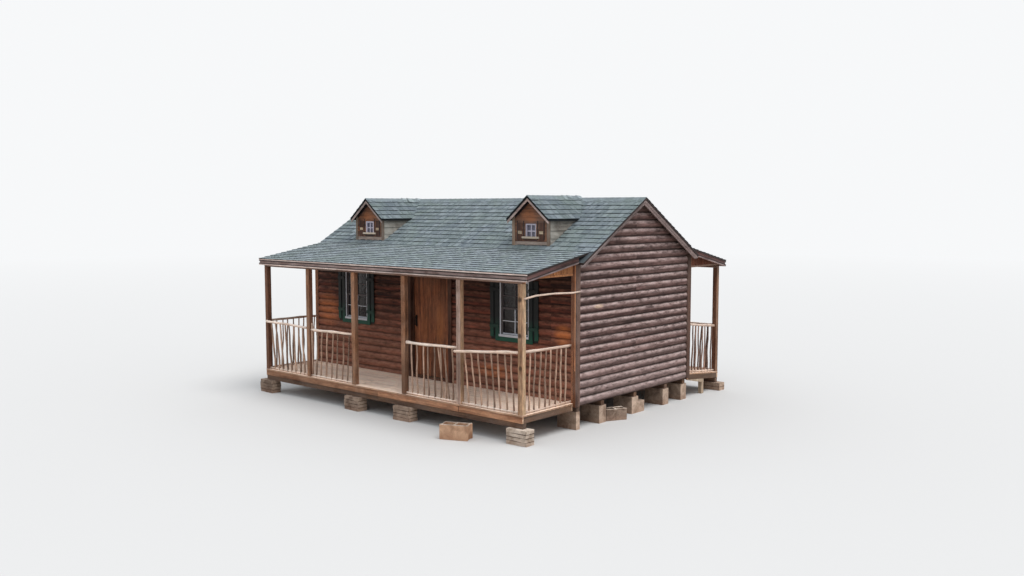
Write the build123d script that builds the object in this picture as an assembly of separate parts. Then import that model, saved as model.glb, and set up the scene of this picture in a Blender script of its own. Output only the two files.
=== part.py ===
from build123d import *
from dataclasses import dataclass
import math
import os

# Log cabin with a front and a rear porch, in millimetres.
# The origin is on the ground under the middle of the whole plan, +X to the right
# along the front wall, +Y towards the rear porch and +Z up.

# Plan of the cabin body, over the faces of its corner boards
body_length = 6840.0
body_depth = 3660.0
front_porch_depth = 1287.0
rear_porch_depth = 1184.0
deck_inset = 52.0

# Base, from the ground up
cap_block = 101.0
block_height = 203.0
block_length = 400.0
block_width = 200.0
block_shell = 32.0
block_end_recess = 14.0
loose_spots = [(2282.0, -1642.0, 23.0, 1.2), (3385.0, 1168.0, 62.5, 1.0)]
front_block_width = 100.0
skid_size = 89.0
skid_spots = [120.0, 820.0, 1815.0, 2840.0, 3480.0]
doubled_skid = 2
skid_end_inset = 30.0
pier_row_count = 3
joist_depth = 89.0
joist_width = 38.0
joist_bays = 11
floor_board = 16.0
siding_drop = 85.0

# Log siding and wall framing
log_exposure = 139.3
log_thickness = 36.0
log_bulge = 27.0
wall_courses = 26
stud_depth = 89.0
corner_width = 95.0
corner_thickness = 38.0
blocking_depth = 26.0

# Roof planes, each given on its top surface
ridge_height = 3856.0
break_height = 2953.0
break_inset = 280.0
front_eave_height = 2670.0
rear_eave_height = 2626.0
front_eave_reach = 1319.0
rear_eave_reach = 1218.0
gable_overhang = 140.0
porch_overhang = 62.0
roof_skin = 30.0
skin_overhang = 14.0
rafter_depth = 89.0
rafter_width = 38.0
truss_count = 12
rake_height = 75.0
rake_thickness = 25.0
rake_strip_height = 30.0
rake_strip_thickness = 20.0
rake_foot_level = 2712.0
fascia_height = 92.0
fascia_setback = 6.0
ridge_cap_reach = 150.0
ridge_cap_thickness = 6.0

# Porches
deck_board = 28.0
front_deck_height = 464.0
rear_deck_wall_height = 484.0
rear_deck_edge_height = 366.0
rim_height = 100.0
rim_thickness = 38.0
runner_size = 89.0
runner_setback = 14.0
slab_height = 61.0
slab_turn = 3.0
stack_overhang = 125.0
stack_forward = 20.0
leg_size = 80.0
leg_spot = 590.0
prop_wall_height = 346.0
prop_leg_height = 232.0
prop_thickness = 38.0
post_size = 92.0
post_count = 6
open_bay = 2
plate_thickness = 38.0
plate_width = 89.0
end_strip_rise = 55.0
end_board_thickness = 20.0

# Stick railings of peeled poles
rail_radius = 24.0
rail_sides = 6
foot_rail_radius = 18.0
foot_rail_height = 26.0
stick_sides = 4
stick_wander = 9.0
stick_bow = 12.0
crossing_spread = 72.0
pole_seat = 0.3
branch_radius = 16.0

# Front door, hung on its right and opening inwards
door_width = 980.0
door_height = 1990.0
door_thickness = 44.0
door_gap = 5.0
door_floor_gap = 8.0
plank_count = 7
plank_groove = 6.0
ledge_depth = 22.0
ledge_height = 120.0
ledge_inset = 60.0
ledge_spots = [260.0, 1560.0]
jamb_thickness = 28.0
casing_width = 92.0
casing_thickness = 20.0
stop_width = 12.0
hinge_radius = 7.0
hinge_sides = 8
hinge_length = 60.0
hinge_strap = 50.0
hinge_plate = 3.0
hinge_play = 0.3
hinge_heights = [230.0, 1000.0, 1770.0]
latch_inset = 56.0
latch_height = 1030.0
latch_plate_width = 44.0
latch_plate_height = 220.0
latch_plate_depth = 4.0
latch_lug = 16.0
latch_lug_spread = 140.0
latch_bar_radius = 9.0
latch_bar_sides = 6
latch_bar_length = 170.0
latch_bar_reach = 42.0
rear_door_setback = 60.0

# Windows and shutters
window_spot = 2095.0
window_width = 680.0
window_height = 985.0
window_bottom = 1440.0
frame_face = 34.0
frame_depth = 92.0
glass_thickness = 6.0
sill_height = 40.0
sill_reach = 24.0
apron_height = 78.0
apron_thickness = 20.0
shutter_board = 82.0
shutter_slot = 42.0
shutter_thickness = 20.0
shutter_rise = 20.0
shutter_drop = 80.0
shutter_step = 68.0
batten_height = 62.0
batten_thickness = 15.0
lower_batten_spot = 150.0
upper_batten_spot = 210.0

# Dormers
dormer_tops = {-2130.0: 3860.0, 2130.0: 3888.0}
dormer_width = 850.0
dormer_face = 410.0
dormer_wall = 45.0
dormer_pitch = 40.3
dormer_skin = 28.0
dormer_eave_reach = 48.0
dormer_front_reach = 115.0
dormer_window_width = 235.0
dormer_window_height = 257.0
dormer_window_bottom = 3145.0
dormer_frame_face = 24.0
dormer_frame_reach = 10.0
dormer_glass_thickness = 5.0
dormer_sill_height = 34.0
dormer_sill_reach = 22.0
dormer_sill_side = 75.0
dormer_trim_width = 62.0
dormer_trim_thickness = 18.0
dormer_rake_height = 40.0
dormer_rake_setback = 8.0
dormer_shutter_width = 115.0
dormer_shutter_drop = 45.0
dormer_shutter_rise = 20.0

# Levels and lines that follow from the sizes above
pier_top = cap_block + block_height
skid_top = pier_top + skid_size
joist_top = skid_top + joist_depth
floor_top = joist_top + floor_board
siding_bottom = joist_top - siding_drop
half_length = body_length / 2
inner_face_line = corner_thickness + stud_depth
ridge_line = body_depth / 2
plan_middle = (body_depth + rear_eave_reach - front_eave_reach) / 2
main_slope = (ridge_height - break_height) / (ridge_line - break_inset)
skin_drop = roof_skin * math.hypot(1, main_slope)
rafter_drop = rafter_depth * math.hypot(1, main_slope)
plate_level = break_height + main_slope * (inner_face_line - break_inset) - skin_drop - rafter_drop
frame_half = half_length - corner_thickness
deck_half = half_length - deck_inset
post_line = deck_half - post_size / 2
post_spacing = 2 * post_line / (post_count - 1)
post_xs = [-post_line + index * post_spacing for index in range(post_count)]

# How far cutting tools run past what they cut, and how far trimmed stock runs past its cut
cut_margin = 300.0

os.makedirs("parts", exist_ok=True)


def block_between(x_span, y_span, z_span):
    """Rectangular solid between two corners, in the cabin's own coordinates."""
    size = [max(span) - min(span) for span in (x_span, y_span, z_span)]
    middle = [(span[0] + span[1]) / 2 for span in (x_span, y_span, z_span)]
    return Pos(*middle) * Box(*size)


def side_profile(points, x_span):
    """Outline in the plane of the gable, given as (y, z), pushed along the length."""
    face = make_face(Plane.YZ * Polyline(*points, close=True))
    return Pos(x_span[0], 0, 0) * extrude(face, x_span[1] - x_span[0], dir=(1, 0, 0))


def front_profile(points, y_span):
    """Outline in the plane of the front wall, given as (x, z), pushed towards the back."""
    placed = [Vector(x, y_span[0], z) for x, z in points]
    face = make_face(Polyline(*placed, close=True))
    return extrude(face, y_span[1] - y_span[0], dir=(0, 1, 0))


def mirrored(shape):
    """Copy of a shape on the other end of the cabin."""
    return mirror(shape, about=Plane.YZ)


def to_rear(shape):
    """Copy of a piece of the front wall on the rear wall."""
    return mirror(shape, about=Plane.XZ.offset(-ridge_line))


def main_top(y):
    """Height of the main roof's top surface over a line across the cabin."""
    return break_height + main_slope * (min(y, body_depth - y) - break_inset)


def main_under(y):
    """Height of the underside of the main roof skin."""
    return main_top(y) - skin_drop


def spans_across(half, count, width):
    """Spans along X of equal members, the outer two flush with both ends."""
    pitch = (2 * half - width) / (count - 1)
    return [(-half + index * pitch, -half + index * pitch + width) for index in range(count)]


def save(name, *solids):
    """Moves the finished pieces to the origin of the whole plan and writes their file."""
    placed = [Pos(0, -plan_middle, 0) * solid for solid in solids]
    shape = placed[0] if len(placed) == 1 else Compound(children=placed)
    export_step(shape, f"parts/{name}.step")


@dataclass(frozen=True)
class Porch:
    """A porch, described by distances outwards from the wall that it stands against."""

    wall_line: float
    outward: int
    depth: float
    deck_at_wall: float
    deck_at_edge: float
    eave_reach: float
    eave_height: float

    def y(self, distance):
        """Place across the cabin at a distance from the wall."""
        return self.wall_line + self.outward * distance

    def slope(self):
        """Rise of the porch roof over one unit towards the wall."""
        return (break_height - self.eave_height) / (self.eave_reach + break_inset)

    def roof_under(self, distance):
        """Height of the underside of the roof skin."""
        return self.eave_height - roof_skin + self.slope() * (self.eave_reach - distance)

    def roof_meet(self):
        """Distance inside the wall at which the skin's underside meets the main roof."""
        return -(break_inset - roof_skin / (main_slope - self.slope()))

    def deck(self, distance):
        """Height of the top of the deck, which may fall towards its edge."""
        return self.deck_at_wall + (self.deck_at_edge - self.deck_at_wall) * distance / self.depth

    def plate_top(self):
        """Height of the plate that carries the lower ends of the rafters."""
        return self.roof_under(self.depth) - rafter_depth * math.hypot(1, self.slope())

    def profile(self, points, x_span):
        """Outline given as (distance, height), pushed along the length."""
        return side_profile([(self.y(distance), height) for distance, height in points], x_span)

    def deck_layer(self, near, far, lift, depth, x_span):
        """Slab that follows the deck, its top some way under the deck's own top."""
        near_top = self.deck(near) - lift
        far_top = self.deck(far) - lift
        points = [(near, near_top), (far, far_top), (far, far_top - depth), (near, near_top - depth)]
        return self.profile(points, x_span)

    def block(self, x_span, near, far, z_span):
        """Rectangular solid between two distances from the wall."""
        return block_between(x_span, (self.y(near), self.y(far)), z_span)


front_porch = Porch(0.0, -1, front_porch_depth, front_deck_height, front_deck_height,
                    front_eave_reach, front_eave_height)
rear_porch = Porch(body_depth, 1, rear_porch_depth, rear_deck_wall_height, rear_deck_edge_height,
                   rear_eave_reach, rear_eave_height)
porches = (front_porch, rear_porch)


# Concrete blocks and piers
def hollow_block():
    """Loose block with two cores and recessed ends, long side along X, foot at z 0."""
    core = (block_length - 3 * block_shell) / 2
    outline = Rectangle(block_length, block_width)
    for side in (-1, 1):
        outline -= Pos(side * (core + block_shell) / 2, 0) * Rectangle(
            core, block_width - 2 * block_shell)
        outline -= Pos(side * block_length / 2, 0) * Rectangle(
            2 * block_end_recess, block_width - 2 * block_shell)
    return extrude(outline, block_height)


def body_pier(x, y, width):
    """One laid block on a cap block, under a skid; its cores are closed by the skid."""
    block_x = (x - block_length / 2, x + block_length / 2)
    pier = block_between(block_x, (y - width / 2, y + width / 2), (0, pier_top))
    core = (block_length - 3 * block_shell) / 2
    core_y = (y - width / 2 + block_shell, y + width / 2 - block_shell)
    for side in (-1, 1):
        middle = x + side * (core + block_shell) / 2
        pier -= block_between((middle - core / 2, middle + core / 2), core_y, (cap_block, pier_top))
    return pier


def slab_pier(x, y, top, turn):
    """Stack of flat slabs, each turned by up to an angle on the one below."""
    count = round(top / slab_height)
    slab = top / count
    turns = [turn * math.sin(2.1 * level + x / block_length) for level in range(count)]
    slabs = [Pos(x, y, slab * (level + 0.5)) * Rot(0, 0, angle) * Box(block_length, block_width, slab)
             for level, angle in enumerate(turns)]
    return slabs[0] + slabs[1:]


def runner_top(porch):
    """Height of the top of a porch's runner, under the lowest point of its joists."""
    return porch.deck(porch.depth - runner_setback) - deck_board - rim_height


pier_half = half_length - skid_end_inset - block_length / 2
piers = []
for row in range(pier_row_count):
    x = -pier_half + row * 2 * pier_half / (pier_row_count - 1)
    for index, y in enumerate(skid_spots):
        piers.append(body_pier(x, y, front_block_width if index == 0 else block_width))
        if index == doubled_skid:
            beside = y + block_width
            piers[-1] += block_between((x - block_length / 2, x + block_length / 2),
                                       (y + block_width / 2, beside + block_width / 2), (0, block_height))
stack_half = deck_half - block_length / 2 + stack_overhang
for porch in porches:
    stack_y = porch.y(porch.depth - runner_setback - runner_size / 2 + stack_forward)
    for x in (-stack_half, -post_spacing / 2, post_spacing / 2, stack_half):
        piers.append(slab_pier(x, stack_y, runner_top(porch) - runner_size,
                               slab_turn if porch is front_porch else 0))
save("concrete_piers", *piers)

save("loose_blocks", *[Pos(x, y, 0) * Rot(0, 0, turn) * scale(hollow_block(), by=size)
                       for x, y, turn, size in loose_spots])

# Skids, floor frame and floor boards
skid_half = half_length - skid_end_inset
floor_y = (corner_thickness, body_depth - corner_thickness)
save("floor_skids", *[block_between((-skid_half, skid_half), (y - skid_size / 2, y + skid_size / 2),
                                    (pier_top, skid_top)) for y in skid_spots])
save("floor_rims", *[block_between((-frame_half, frame_half), (edge, edge + side * joist_width),
                                   (skid_top, joist_top)) for edge, side in zip(floor_y, (1, -1))])
save("floor_joists", *[block_between(span, (floor_y[0] + joist_width, floor_y[1] - joist_width),
                                     (skid_top, joist_top))
                       for span in spans_across(frame_half, joist_bays + 1, joist_width)])
save("floor_boards", block_between((-frame_half, frame_half), floor_y, (joist_top, floor_top)))

# Porch decks, each with a rim and a ledger, joists between them and a runner under the rim
whole_deck = (-deck_half, deck_half)
deck_rims = []
deck_joists = []
deck_runners = []
for porch in porches:
    rim_back = porch.depth - rim_thickness
    deck_rims.append(porch.deck_layer(0, rim_thickness, deck_board, rim_height, whole_deck))
    deck_rims.append(porch.deck_layer(rim_back, porch.depth, deck_board, rim_height, whole_deck))
    for span in spans_across(deck_half, joist_bays + 1, rim_thickness):
        deck_joists.append(porch.deck_layer(rim_thickness, rim_back, deck_board, rim_height, span))
    runner_front = porch.depth - runner_setback
    deck_runners.append(porch.block(whole_deck, runner_front - runner_size, runner_front,
                                    (runner_top(porch) - runner_size, runner_top(porch))))
save("deck_rims", *deck_rims)
save("deck_joists", *deck_joists)
save("deck_runners", *deck_runners)
save("front_deck_boards", front_porch.deck_layer(0, front_porch.depth, 0, deck_board, whole_deck))
save("rear_deck_boards", rear_porch.deck_layer(0, rear_porch.depth, 0, deck_board, whole_deck))

# Legs under the sides of the rear deck, each with a slanted prop board back to the wall
leg_near = leg_spot - leg_size / 2
leg_far = leg_spot + leg_size / 2
rear_under = rear_porch.deck(leg_far) - deck_board - rim_height
leg_x = (deck_half - leg_size, deck_half)
leg = rear_porch.block(leg_x, leg_near, leg_far, (0, prop_leg_height))
prop = rear_porch.profile([(0, rear_porch.deck(0) - deck_board - rim_height),
                           (leg_far, rear_under), (leg_far, prop_leg_height), (leg_near, prop_leg_height),
                           (0, prop_wall_height)], (deck_half - prop_thickness, deck_half))
save("rear_deck_legs", leg + prop, mirrored(leg + prop))


# Walls of half-round log siding on a stud frame
def log_siding(length, courses):
    """Run of rounded log courses, bulging to -Y, its back face on the stud frame."""
    tip = corner_thickness - log_thickness
    edge = tip + log_bulge
    start = (corner_thickness, siding_bottom)
    lines = [Line(start, (edge, siding_bottom))]
    for course in range(courses):
        low = siding_bottom + course * log_exposure
        high = low + log_exposure
        lines.append(ThreePointArc((edge, low), (tip, (low + high) / 2), (edge, high)))
    top = siding_bottom + courses * log_exposure
    lines.append(Line((edge, top), (corner_thickness, top)))
    lines.append(Line((corner_thickness, top), start))
    face = make_face(Plane.YZ * Curve(lines))
    return Pos(-length / 2, 0, 0) * extrude(face, length, dir=(1, 0, 0))


# Space above the underside of the roof skin, which trims every wall and corner
over_all = ridge_height + cut_margin
past_rear = body_depth + cut_margin
roof_space = side_profile([
    (-cut_margin, main_under(-cut_margin)), (ridge_line, main_under(ridge_line)),
    (past_rear, main_under(past_rear)), (past_rear, over_all), (-cut_margin, over_all)],
    (-half_length - cut_margin, half_length + cut_margin))

eave_courses = math.ceil((main_top(inner_face_line) - siding_bottom) / log_exposure)
long_logs = log_siding(2 * (half_length - corner_width), eave_courses)
long_frame = side_profile([
    (corner_thickness, floor_top), (inner_face_line, floor_top), (inner_face_line, plate_level),
    (corner_thickness + blocking_depth, plate_level), (corner_thickness + blocking_depth, ridge_height),
    (corner_thickness, ridge_height)], (-frame_half, frame_half))
long_wall = (long_logs + long_frame) - roof_space

opening_half = door_width / 2 + door_gap + jamb_thickness
door_bottom = floor_top + door_floor_gap
door_top = door_bottom + door_height
opening_top = door_top + door_gap + jamb_thickness
window_top = window_bottom + window_height
wall_cut = (-cut_margin, cut_margin)
window_xs = (-window_spot, window_spot)


def window_span(x):
    """Extent of a window along the wall."""
    return (x - window_width / 2, x + window_width / 2)


front_wall = long_wall - block_between((-opening_half, opening_half), wall_cut, (0, opening_top))
for x in window_xs:
    front_wall -= block_between(window_span(x), wall_cut, (window_bottom, window_top))
wall_parts = {
    "front_wall_left": (-half_length, -opening_half),
    "front_wall_right": (opening_half, half_length),
    "front_wall_over_door": (-opening_half, opening_half),
}
for name, span in wall_parts.items():
    save(name, front_wall & block_between(span, wall_cut, (0, ridge_height)))
save("rear_wall", to_rear(front_wall))

gable_clear = body_depth - 2 * (corner_thickness + corner_width)
gable_logs = Pos(half_length, ridge_line, 0) * Rot(0, 0, 90) * log_siding(gable_clear, wall_courses)
gable_frame = block_between((half_length - inner_face_line, half_length - corner_thickness),
                            (inner_face_line, body_depth - inner_face_line), (floor_top, ridge_height))
right_gable = (gable_logs + gable_frame) - roof_space
save("right_gable_wall", right_gable)
save("left_gable_wall", mirrored(right_gable))

# Corner boards, lapped in pairs at each corner
corner_z = (siding_bottom, ridge_height)
corner = block_between((half_length - corner_width, half_length), (0, corner_thickness), corner_z)
corner += block_between((half_length - corner_thickness, half_length),
                        (corner_thickness, corner_thickness + corner_width), corner_z)
corner -= roof_space
save("corner_boards", corner, to_rear(corner), mirrored(corner), mirrored(to_rear(corner)))

# Roof skins and the cap along the ridge
skin_half = half_length + gable_overhang + skin_overhang
porch_skin_half = half_length + porch_overhang + skin_overhang
main_front = side_profile([
    (0, main_top(0)), (ridge_line, ridge_height), (ridge_line, main_under(ridge_line)),
    (0, main_under(0))], (-skin_half, skin_half))
save("main_roof_front", main_front)
save("main_roof_rear", to_rear(main_front))
for porch, name in zip(porches, ("front_porch_roof", "rear_porch_roof")):
    meet = porch.roof_meet()
    save(name, porch.profile([
        (porch.eave_reach, porch.eave_height), (-break_inset, break_height), (meet, main_top(porch.y(meet))),
        (porch.eave_reach, porch.eave_height - roof_skin)], (-porch_skin_half, porch_skin_half)))

cap_rise = ridge_cap_thickness * math.hypot(1, main_slope)
cap_front = ridge_line - ridge_cap_reach
cap_rear = ridge_line + ridge_cap_reach
cap_foot = main_top(cap_front)
ridge_cap = side_profile([
    (cap_front, cap_foot), (ridge_line, ridge_height), (cap_rear, cap_foot), (cap_rear, cap_foot + cap_rise),
    (ridge_line, ridge_height + cap_rise), (cap_front, cap_foot + cap_rise)], (-skin_half, skin_half))
save("ridge_cap", ridge_cap)

# Roof trusses between the long walls
heel = corner_thickness + blocking_depth
tie_top = plate_level + rafter_depth
tie_meet = break_inset + (tie_top + skin_drop + rafter_drop - break_height) / main_slope
truss_outline = [(heel, plate_level), (heel, main_under(heel)), (ridge_line, main_under(ridge_line)),
                 (body_depth - heel, main_under(heel)), (body_depth - heel, plate_level)]
truss_void = [(tie_meet, tie_top), (ridge_line, main_under(ridge_line) - rafter_drop),
              (body_depth - tie_meet, tie_top)]
save("roof_trusses", *[side_profile(truss_outline, span) - side_profile(truss_void, span)
                       for span in spans_across(half_length - inner_face_line, truss_count, rafter_width)])


# Rake boards on the main gables, cut level at the foot, each with a strip along its upper edge
def rake_band(height, x_span):
    """Board under the roof skin that follows both slopes of a gable."""
    drop = height * math.hypot(1, main_slope)
    eave = main_under(0)
    crown = main_under(ridge_line)
    band = side_profile([(0, eave), (ridge_line, crown), (body_depth, eave), (body_depth, eave - drop),
                         (ridge_line, crown - drop), (0, eave - drop)], x_span)
    return band - block_between(x_span, (-cut_margin, body_depth + cut_margin), (0, rake_foot_level))


rake_outer = half_length + gable_overhang
strip_inner = rake_outer - rake_strip_thickness
rake = rake_band(rake_height, (strip_inner - rake_thickness, strip_inner))
rake += rake_band(rake_strip_height, (strip_inner, rake_outer))
save("main_rake_boards", rake, mirrored(rake))

# Porch roof trim: a fascia along the eave and a rake board at each end, joined as one band
porch_rake_outer = half_length + porch_overhang
porch_trim = []
for porch in porches:
    start = porch.eave_reach - fascia_setback
    low_top = porch.roof_under(start)
    high_top = porch.roof_under(0)
    band = porch.block((-porch_rake_outer, porch_rake_outer), start - rake_thickness, start,
                       (low_top - fascia_height, low_top))
    outline = [(start, low_top), (0, high_top), (0, high_top - fascia_height),
               (start, low_top - fascia_height)]
    board = porch.profile(outline, (porch_rake_outer - rake_thickness, porch_rake_outer))
    porch_trim.append(band + board + mirrored(board))
save("porch_trim", *porch_trim)

# Porch rafters, which taper out on top of the main roof, the plate over the posts, and the end
# boards with a strip along their foot
porch_rafters = []
headers = []
porch_ends = []
for porch in porches:
    tip = porch.eave_reach - fascia_setback - rake_thickness
    drop = rafter_depth * math.hypot(1, porch.slope())
    meet = porch.roof_meet()
    outline = [(tip, porch.roof_under(tip)), (meet, main_top(porch.y(meet))), (0, main_top(porch.y(0))),
               (0, porch.roof_under(0) - drop), (tip, porch.roof_under(tip) - drop)]
    for span in spans_across(deck_half - end_board_thickness, truss_count, rafter_width):
        porch_rafters.append(porch.profile(outline, span))
    top = porch.plate_top()
    plate_z = (top - plate_thickness, top)
    end_x = (deck_half - end_board_thickness, deck_half)
    end_foot = top + end_strip_rise
    strip = porch.block(end_x, 0, porch.depth, (end_foot - plate_thickness, end_foot))
    beam = porch.block(whole_deck, porch.depth - plate_width, porch.depth, plate_z)
    headers += [beam, strip, mirrored(strip)]
    end = porch.profile([(porch.depth, end_foot), (porch.depth, porch.roof_under(porch.depth)),
                         (0, porch.roof_under(0)), (0, end_foot)], end_x)
    porch_ends += [end, mirrored(end)]
save("porch_rafters", *porch_rafters)
save("porch_headers", *headers)
save("porch_end_boards", *porch_ends)

# Posts, their feet cut to the fall of the deck
posts = []
for porch in porches:
    inner = porch.depth - post_size
    head = porch.plate_top() - plate_thickness
    outline = [(inner, porch.deck(inner)), (inner, head), (porch.depth, head),
               (porch.depth, porch.deck_at_edge)]
    posts += [porch.profile(outline, (x - post_size / 2, x + post_size / 2)) for x in post_xs]
save("porch_posts", *posts)


# Stick railings
@dataclass(frozen=True)
class Panel:
    """Stick panel between two posts: where its top rail runs and how its sticks stand.

    The rail's heights are over the deck at the two ends. A positive lean carries the tops
    of the sticks towards the end. A lap runs the rail past the first post's outer face.
    """

    start_height: float
    end_height: float
    sticks: int = 8
    lean: float = 0.0
    stick_radius: float = 14.0
    lap: float = 0.0
    crossed: tuple = ()
    tall_stick: float = 0.0


front_bays = {
    0: Panel(955, 928, lean=-33, stick_radius=17, lap=25),
    1: Panel(890, 924, sticks=7, lean=60, tall_stick=125),
    3: Panel(909, 920, lean=-18, crossed=(5, 6)),
    4: Panel(892, 968, lean=-45, lap=113),
}
rear_bays = {
    0: Panel(930, 938, lean=22, stick_radius=15),
    1: Panel(936, 925, sticks=7, lean=-28),
    3: Panel(925, 940, lean=16),
    4: Panel(940, 930, lean=-34, stick_radius=16),
}
front_end = Panel(973, 965, lean=34)
rear_end = Panel(936, 946, lean=-20)


def faceted_pole(points, radii, sides, along):
    """Peeled pole with flat facets, through rings of corners that all face one way."""
    axis = {"X": Vector(1, 0, 0), "Y": Vector(0, 1, 0), "Z": Vector(0, 0, 1)}[along]
    across = Vector(1, 0, 0) if along == "Z" else Vector(0, 0, 1)
    turns = [2 * math.pi * side / sides for side in range(sides)]
    corners = [(math.cos(turn), math.sin(turn)) for turn in turns]
    rings = []
    for point, radius in zip(points, radii):
        plane = Plane(origin=point, x_dir=across, z_dir=axis)
        rings.append([plane.from_local_coords((radius * a, radius * b, 0)) for a, b in corners])
    outlines = [rings[0], rings[-1]]
    for low, high in zip(rings, rings[1:]):
        for side in range(sides):
            after = (side + 1) % sides
            outlines.append([low[side], low[after], high[after], high[side]])
    return Solid(Shell([Face(Wire.make_polygon(outline, close=True)) for outline in outlines]))


def flat_reach(radius, sides):
    """Distance from a pole's axis to the middle of a facet."""
    return radius * math.cos(math.pi / sides)


def railing(length, panel, deck_rise, phase):
    """Panel along X from 0 to its length, its outer side to -Y, over a deck at z 0."""
    lap_side = -(post_size / 2 + flat_reach(rail_radius, rail_sides) + pole_seat) if panel.lap else 0.0
    turn = rail_radius if panel.lap else 0.0

    def deck_at(x):
        """Height of the deck under the panel."""
        return deck_rise * x / length

    def rail_at(x):
        """Point on the axis of the top rail."""
        share = x / length
        inward = (x - turn) / (length - turn)
        sag = stick_wander * math.sin(phase + 4 * share)
        height = panel.start_height + (panel.end_height - panel.start_height) * share + deck_at(x) + sag
        return (x, lap_side * (1 - max(inward, 0)), height)

    stations = [-panel.lap, turn, length] if panel.lap else [0, length / 2, length]
    rail = faceted_pole([rail_at(x) for x in stations], [rail_radius] * 3, rail_sides, "X")
    poles = [faceted_pole([(x, 0, deck_at(x) + foot_rail_height) for x in (0, length)],
                          [foot_rail_radius] * 2, rail_sides, "X")]
    pitch = length / (panel.sticks + 1)
    for index in range(panel.sticks):
        wander = phase + 2.4 * index
        foot_x = pitch * (index + 1) - panel.lean / 2 + stick_wander * math.sin(wander)
        top = rail_at(foot_x + panel.lean + stick_wander * math.sin(1.7 * wander))
        foot = (foot_x, 0, deck_at(foot_x) + foot_rail_height)
        bow = stick_bow * math.sin(2.9 * wander)
        middle = ((foot_x + top[0]) / 2 + bow, top[1] / 2 + bow / 2, (foot[2] + top[2]) / 2)
        points = [foot, middle, top] if index % 2 else [foot, top]
        radii = [panel.stick_radius * (1.1 - 0.1 * ring) for ring in range(len(points))]
        poles.append(faceted_pole(points, radii, stick_sides, "Z"))
        if index in panel.crossed:
            start = foot_x + crossing_spread
            points = [(start, 0, deck_at(start) + foot_rail_height), rail_at(foot_x - crossing_spread)]
            poles.append(faceted_pole(points, [panel.stick_radius] * 2, stick_sides, "Z"))
    if panel.tall_stick:
        x = 2 * panel.stick_radius
        top = rail_at(x)
        points = [(x, 0, foot_rail_height), (x - panel.stick_radius / 2, 0, top[2] + panel.tall_stick)]
        poles.append(faceted_pole(points, [panel.stick_radius * 1.2, panel.stick_radius], stick_sides, "Z"))
    return rail + poles


def porch_railings(porch, bays, end_panel, phase):
    """All the panels of one porch: along its edge, but for the way in, and at both ends."""
    post_distance = porch.depth - post_size / 2
    foot = porch.deck(post_distance)
    turn = 0 if porch.outward < 0 else 180
    panels = []
    for bay, panel in bays.items():
        x = post_xs[bay] + post_size / 2 if porch.outward < 0 else post_xs[bay + 1] - post_size / 2
        panels.append(Pos(x, porch.y(post_distance), foot) * Rot(0, 0, turn) * railing(
            post_spacing - post_size, panel, 0, phase + bay))
    inner = porch.depth - post_size
    rise = porch.deck(0) - porch.deck(inner)
    for index, x in enumerate((-post_line, post_line)):
        panels.append(Pos(x, porch.y(inner), porch.deck(inner)) * Rot(0, 0, turn + 90) * railing(
            inner, end_panel, rise, phase + post_count + index))
    return panels


save("front_railings", *porch_railings(front_porch, front_bays, front_end, 0.4))
save("rear_railings", *porch_railings(rear_porch, rear_bays, rear_end, 3.1))

# Peeled branch fastened to the right front post and to the corner of the cabin
branch_flat = flat_reach(branch_radius, rail_sides) + pole_seat
branch_start = deck_half + branch_flat
branch_end = half_length + branch_flat
post_middle = front_porch.y(front_porch.depth - post_size / 2)
branch_points = [(branch_start, post_middle - 20, 2284), (branch_start, post_middle + 40, 2290),
                 (branch_start + 14, -1000, 2318), (branch_start + 30, -560, 2322),
                 (branch_end, -120, 2304), (branch_end, corner_width, 2312)]
save("branch_pole", faceted_pole(branch_points, [branch_radius] * len(branch_points), rail_sides, "Y"))

# Front door and its frame
door_inner = inner_face_line
door_outer = door_inner - door_thickness
frame_y = (0, inner_face_line)
jamb_edge = opening_half - jamb_thickness
casing_reach = jamb_edge + casing_width
head_bottom = opening_top - jamb_thickness
head_casing_z = (head_bottom, head_bottom + casing_width)
stop_y = (door_outer - door_gap - 2 * stop_width, door_outer - door_gap)
jamb = block_between((jamb_edge, opening_half), frame_y, (floor_top, head_bottom))
jamb += block_between((jamb_edge, casing_reach), (-casing_thickness, 0), (front_deck_height, head_bottom))
jamb += block_between((jamb_edge - stop_width, jamb_edge), stop_y, (floor_top, head_bottom))
save("door_jambs", jamb, mirrored(jamb))
head = block_between((-opening_half, opening_half), frame_y, (head_bottom, opening_top))
head += block_between((-casing_reach, casing_reach), (-casing_thickness, 0), head_casing_z)
save("door_head", head)
door_sill = block_between((-opening_half, opening_half), (0, corner_thickness), (siding_bottom, floor_top))
save("door_sill", door_sill)


def planked_leaf(half, y_span, z_span, face_line):
    """Door of upright planks with a groove at each joint on one face."""
    leaf = block_between((-half, half), y_span, z_span)
    plank = 2 * half / plank_count
    height = z_span[1] - z_span[0]
    grooves = [Pos(-half + joint * plank, face_line, z_span[0] + height / 2) * Rot(0, 0, 45)
               * Box(plank_groove, plank_groove, height) for joint in range(1, plank_count)]
    return leaf - grooves


leaf_half = door_width / 2
ledge_half = leaf_half - ledge_inset
leaf = planked_leaf(leaf_half, (door_outer, door_inner), (door_bottom, door_top), door_outer)
for spot in ledge_spots:
    leaf += block_between((-ledge_half, ledge_half), (door_inner, door_inner + ledge_depth),
                          (door_bottom + spot, door_bottom + spot + ledge_height))
save("door_leaf", leaf)


def upright_bar(x, y, radius, sides, z_span):
    """Upright many-sided bar between two levels."""
    outline = Pos(x, y, z_span[0]) * RegularPolygon(radius, sides)
    return extrude(outline, z_span[1] - z_span[0], dir=(0, 0, 1))


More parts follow.
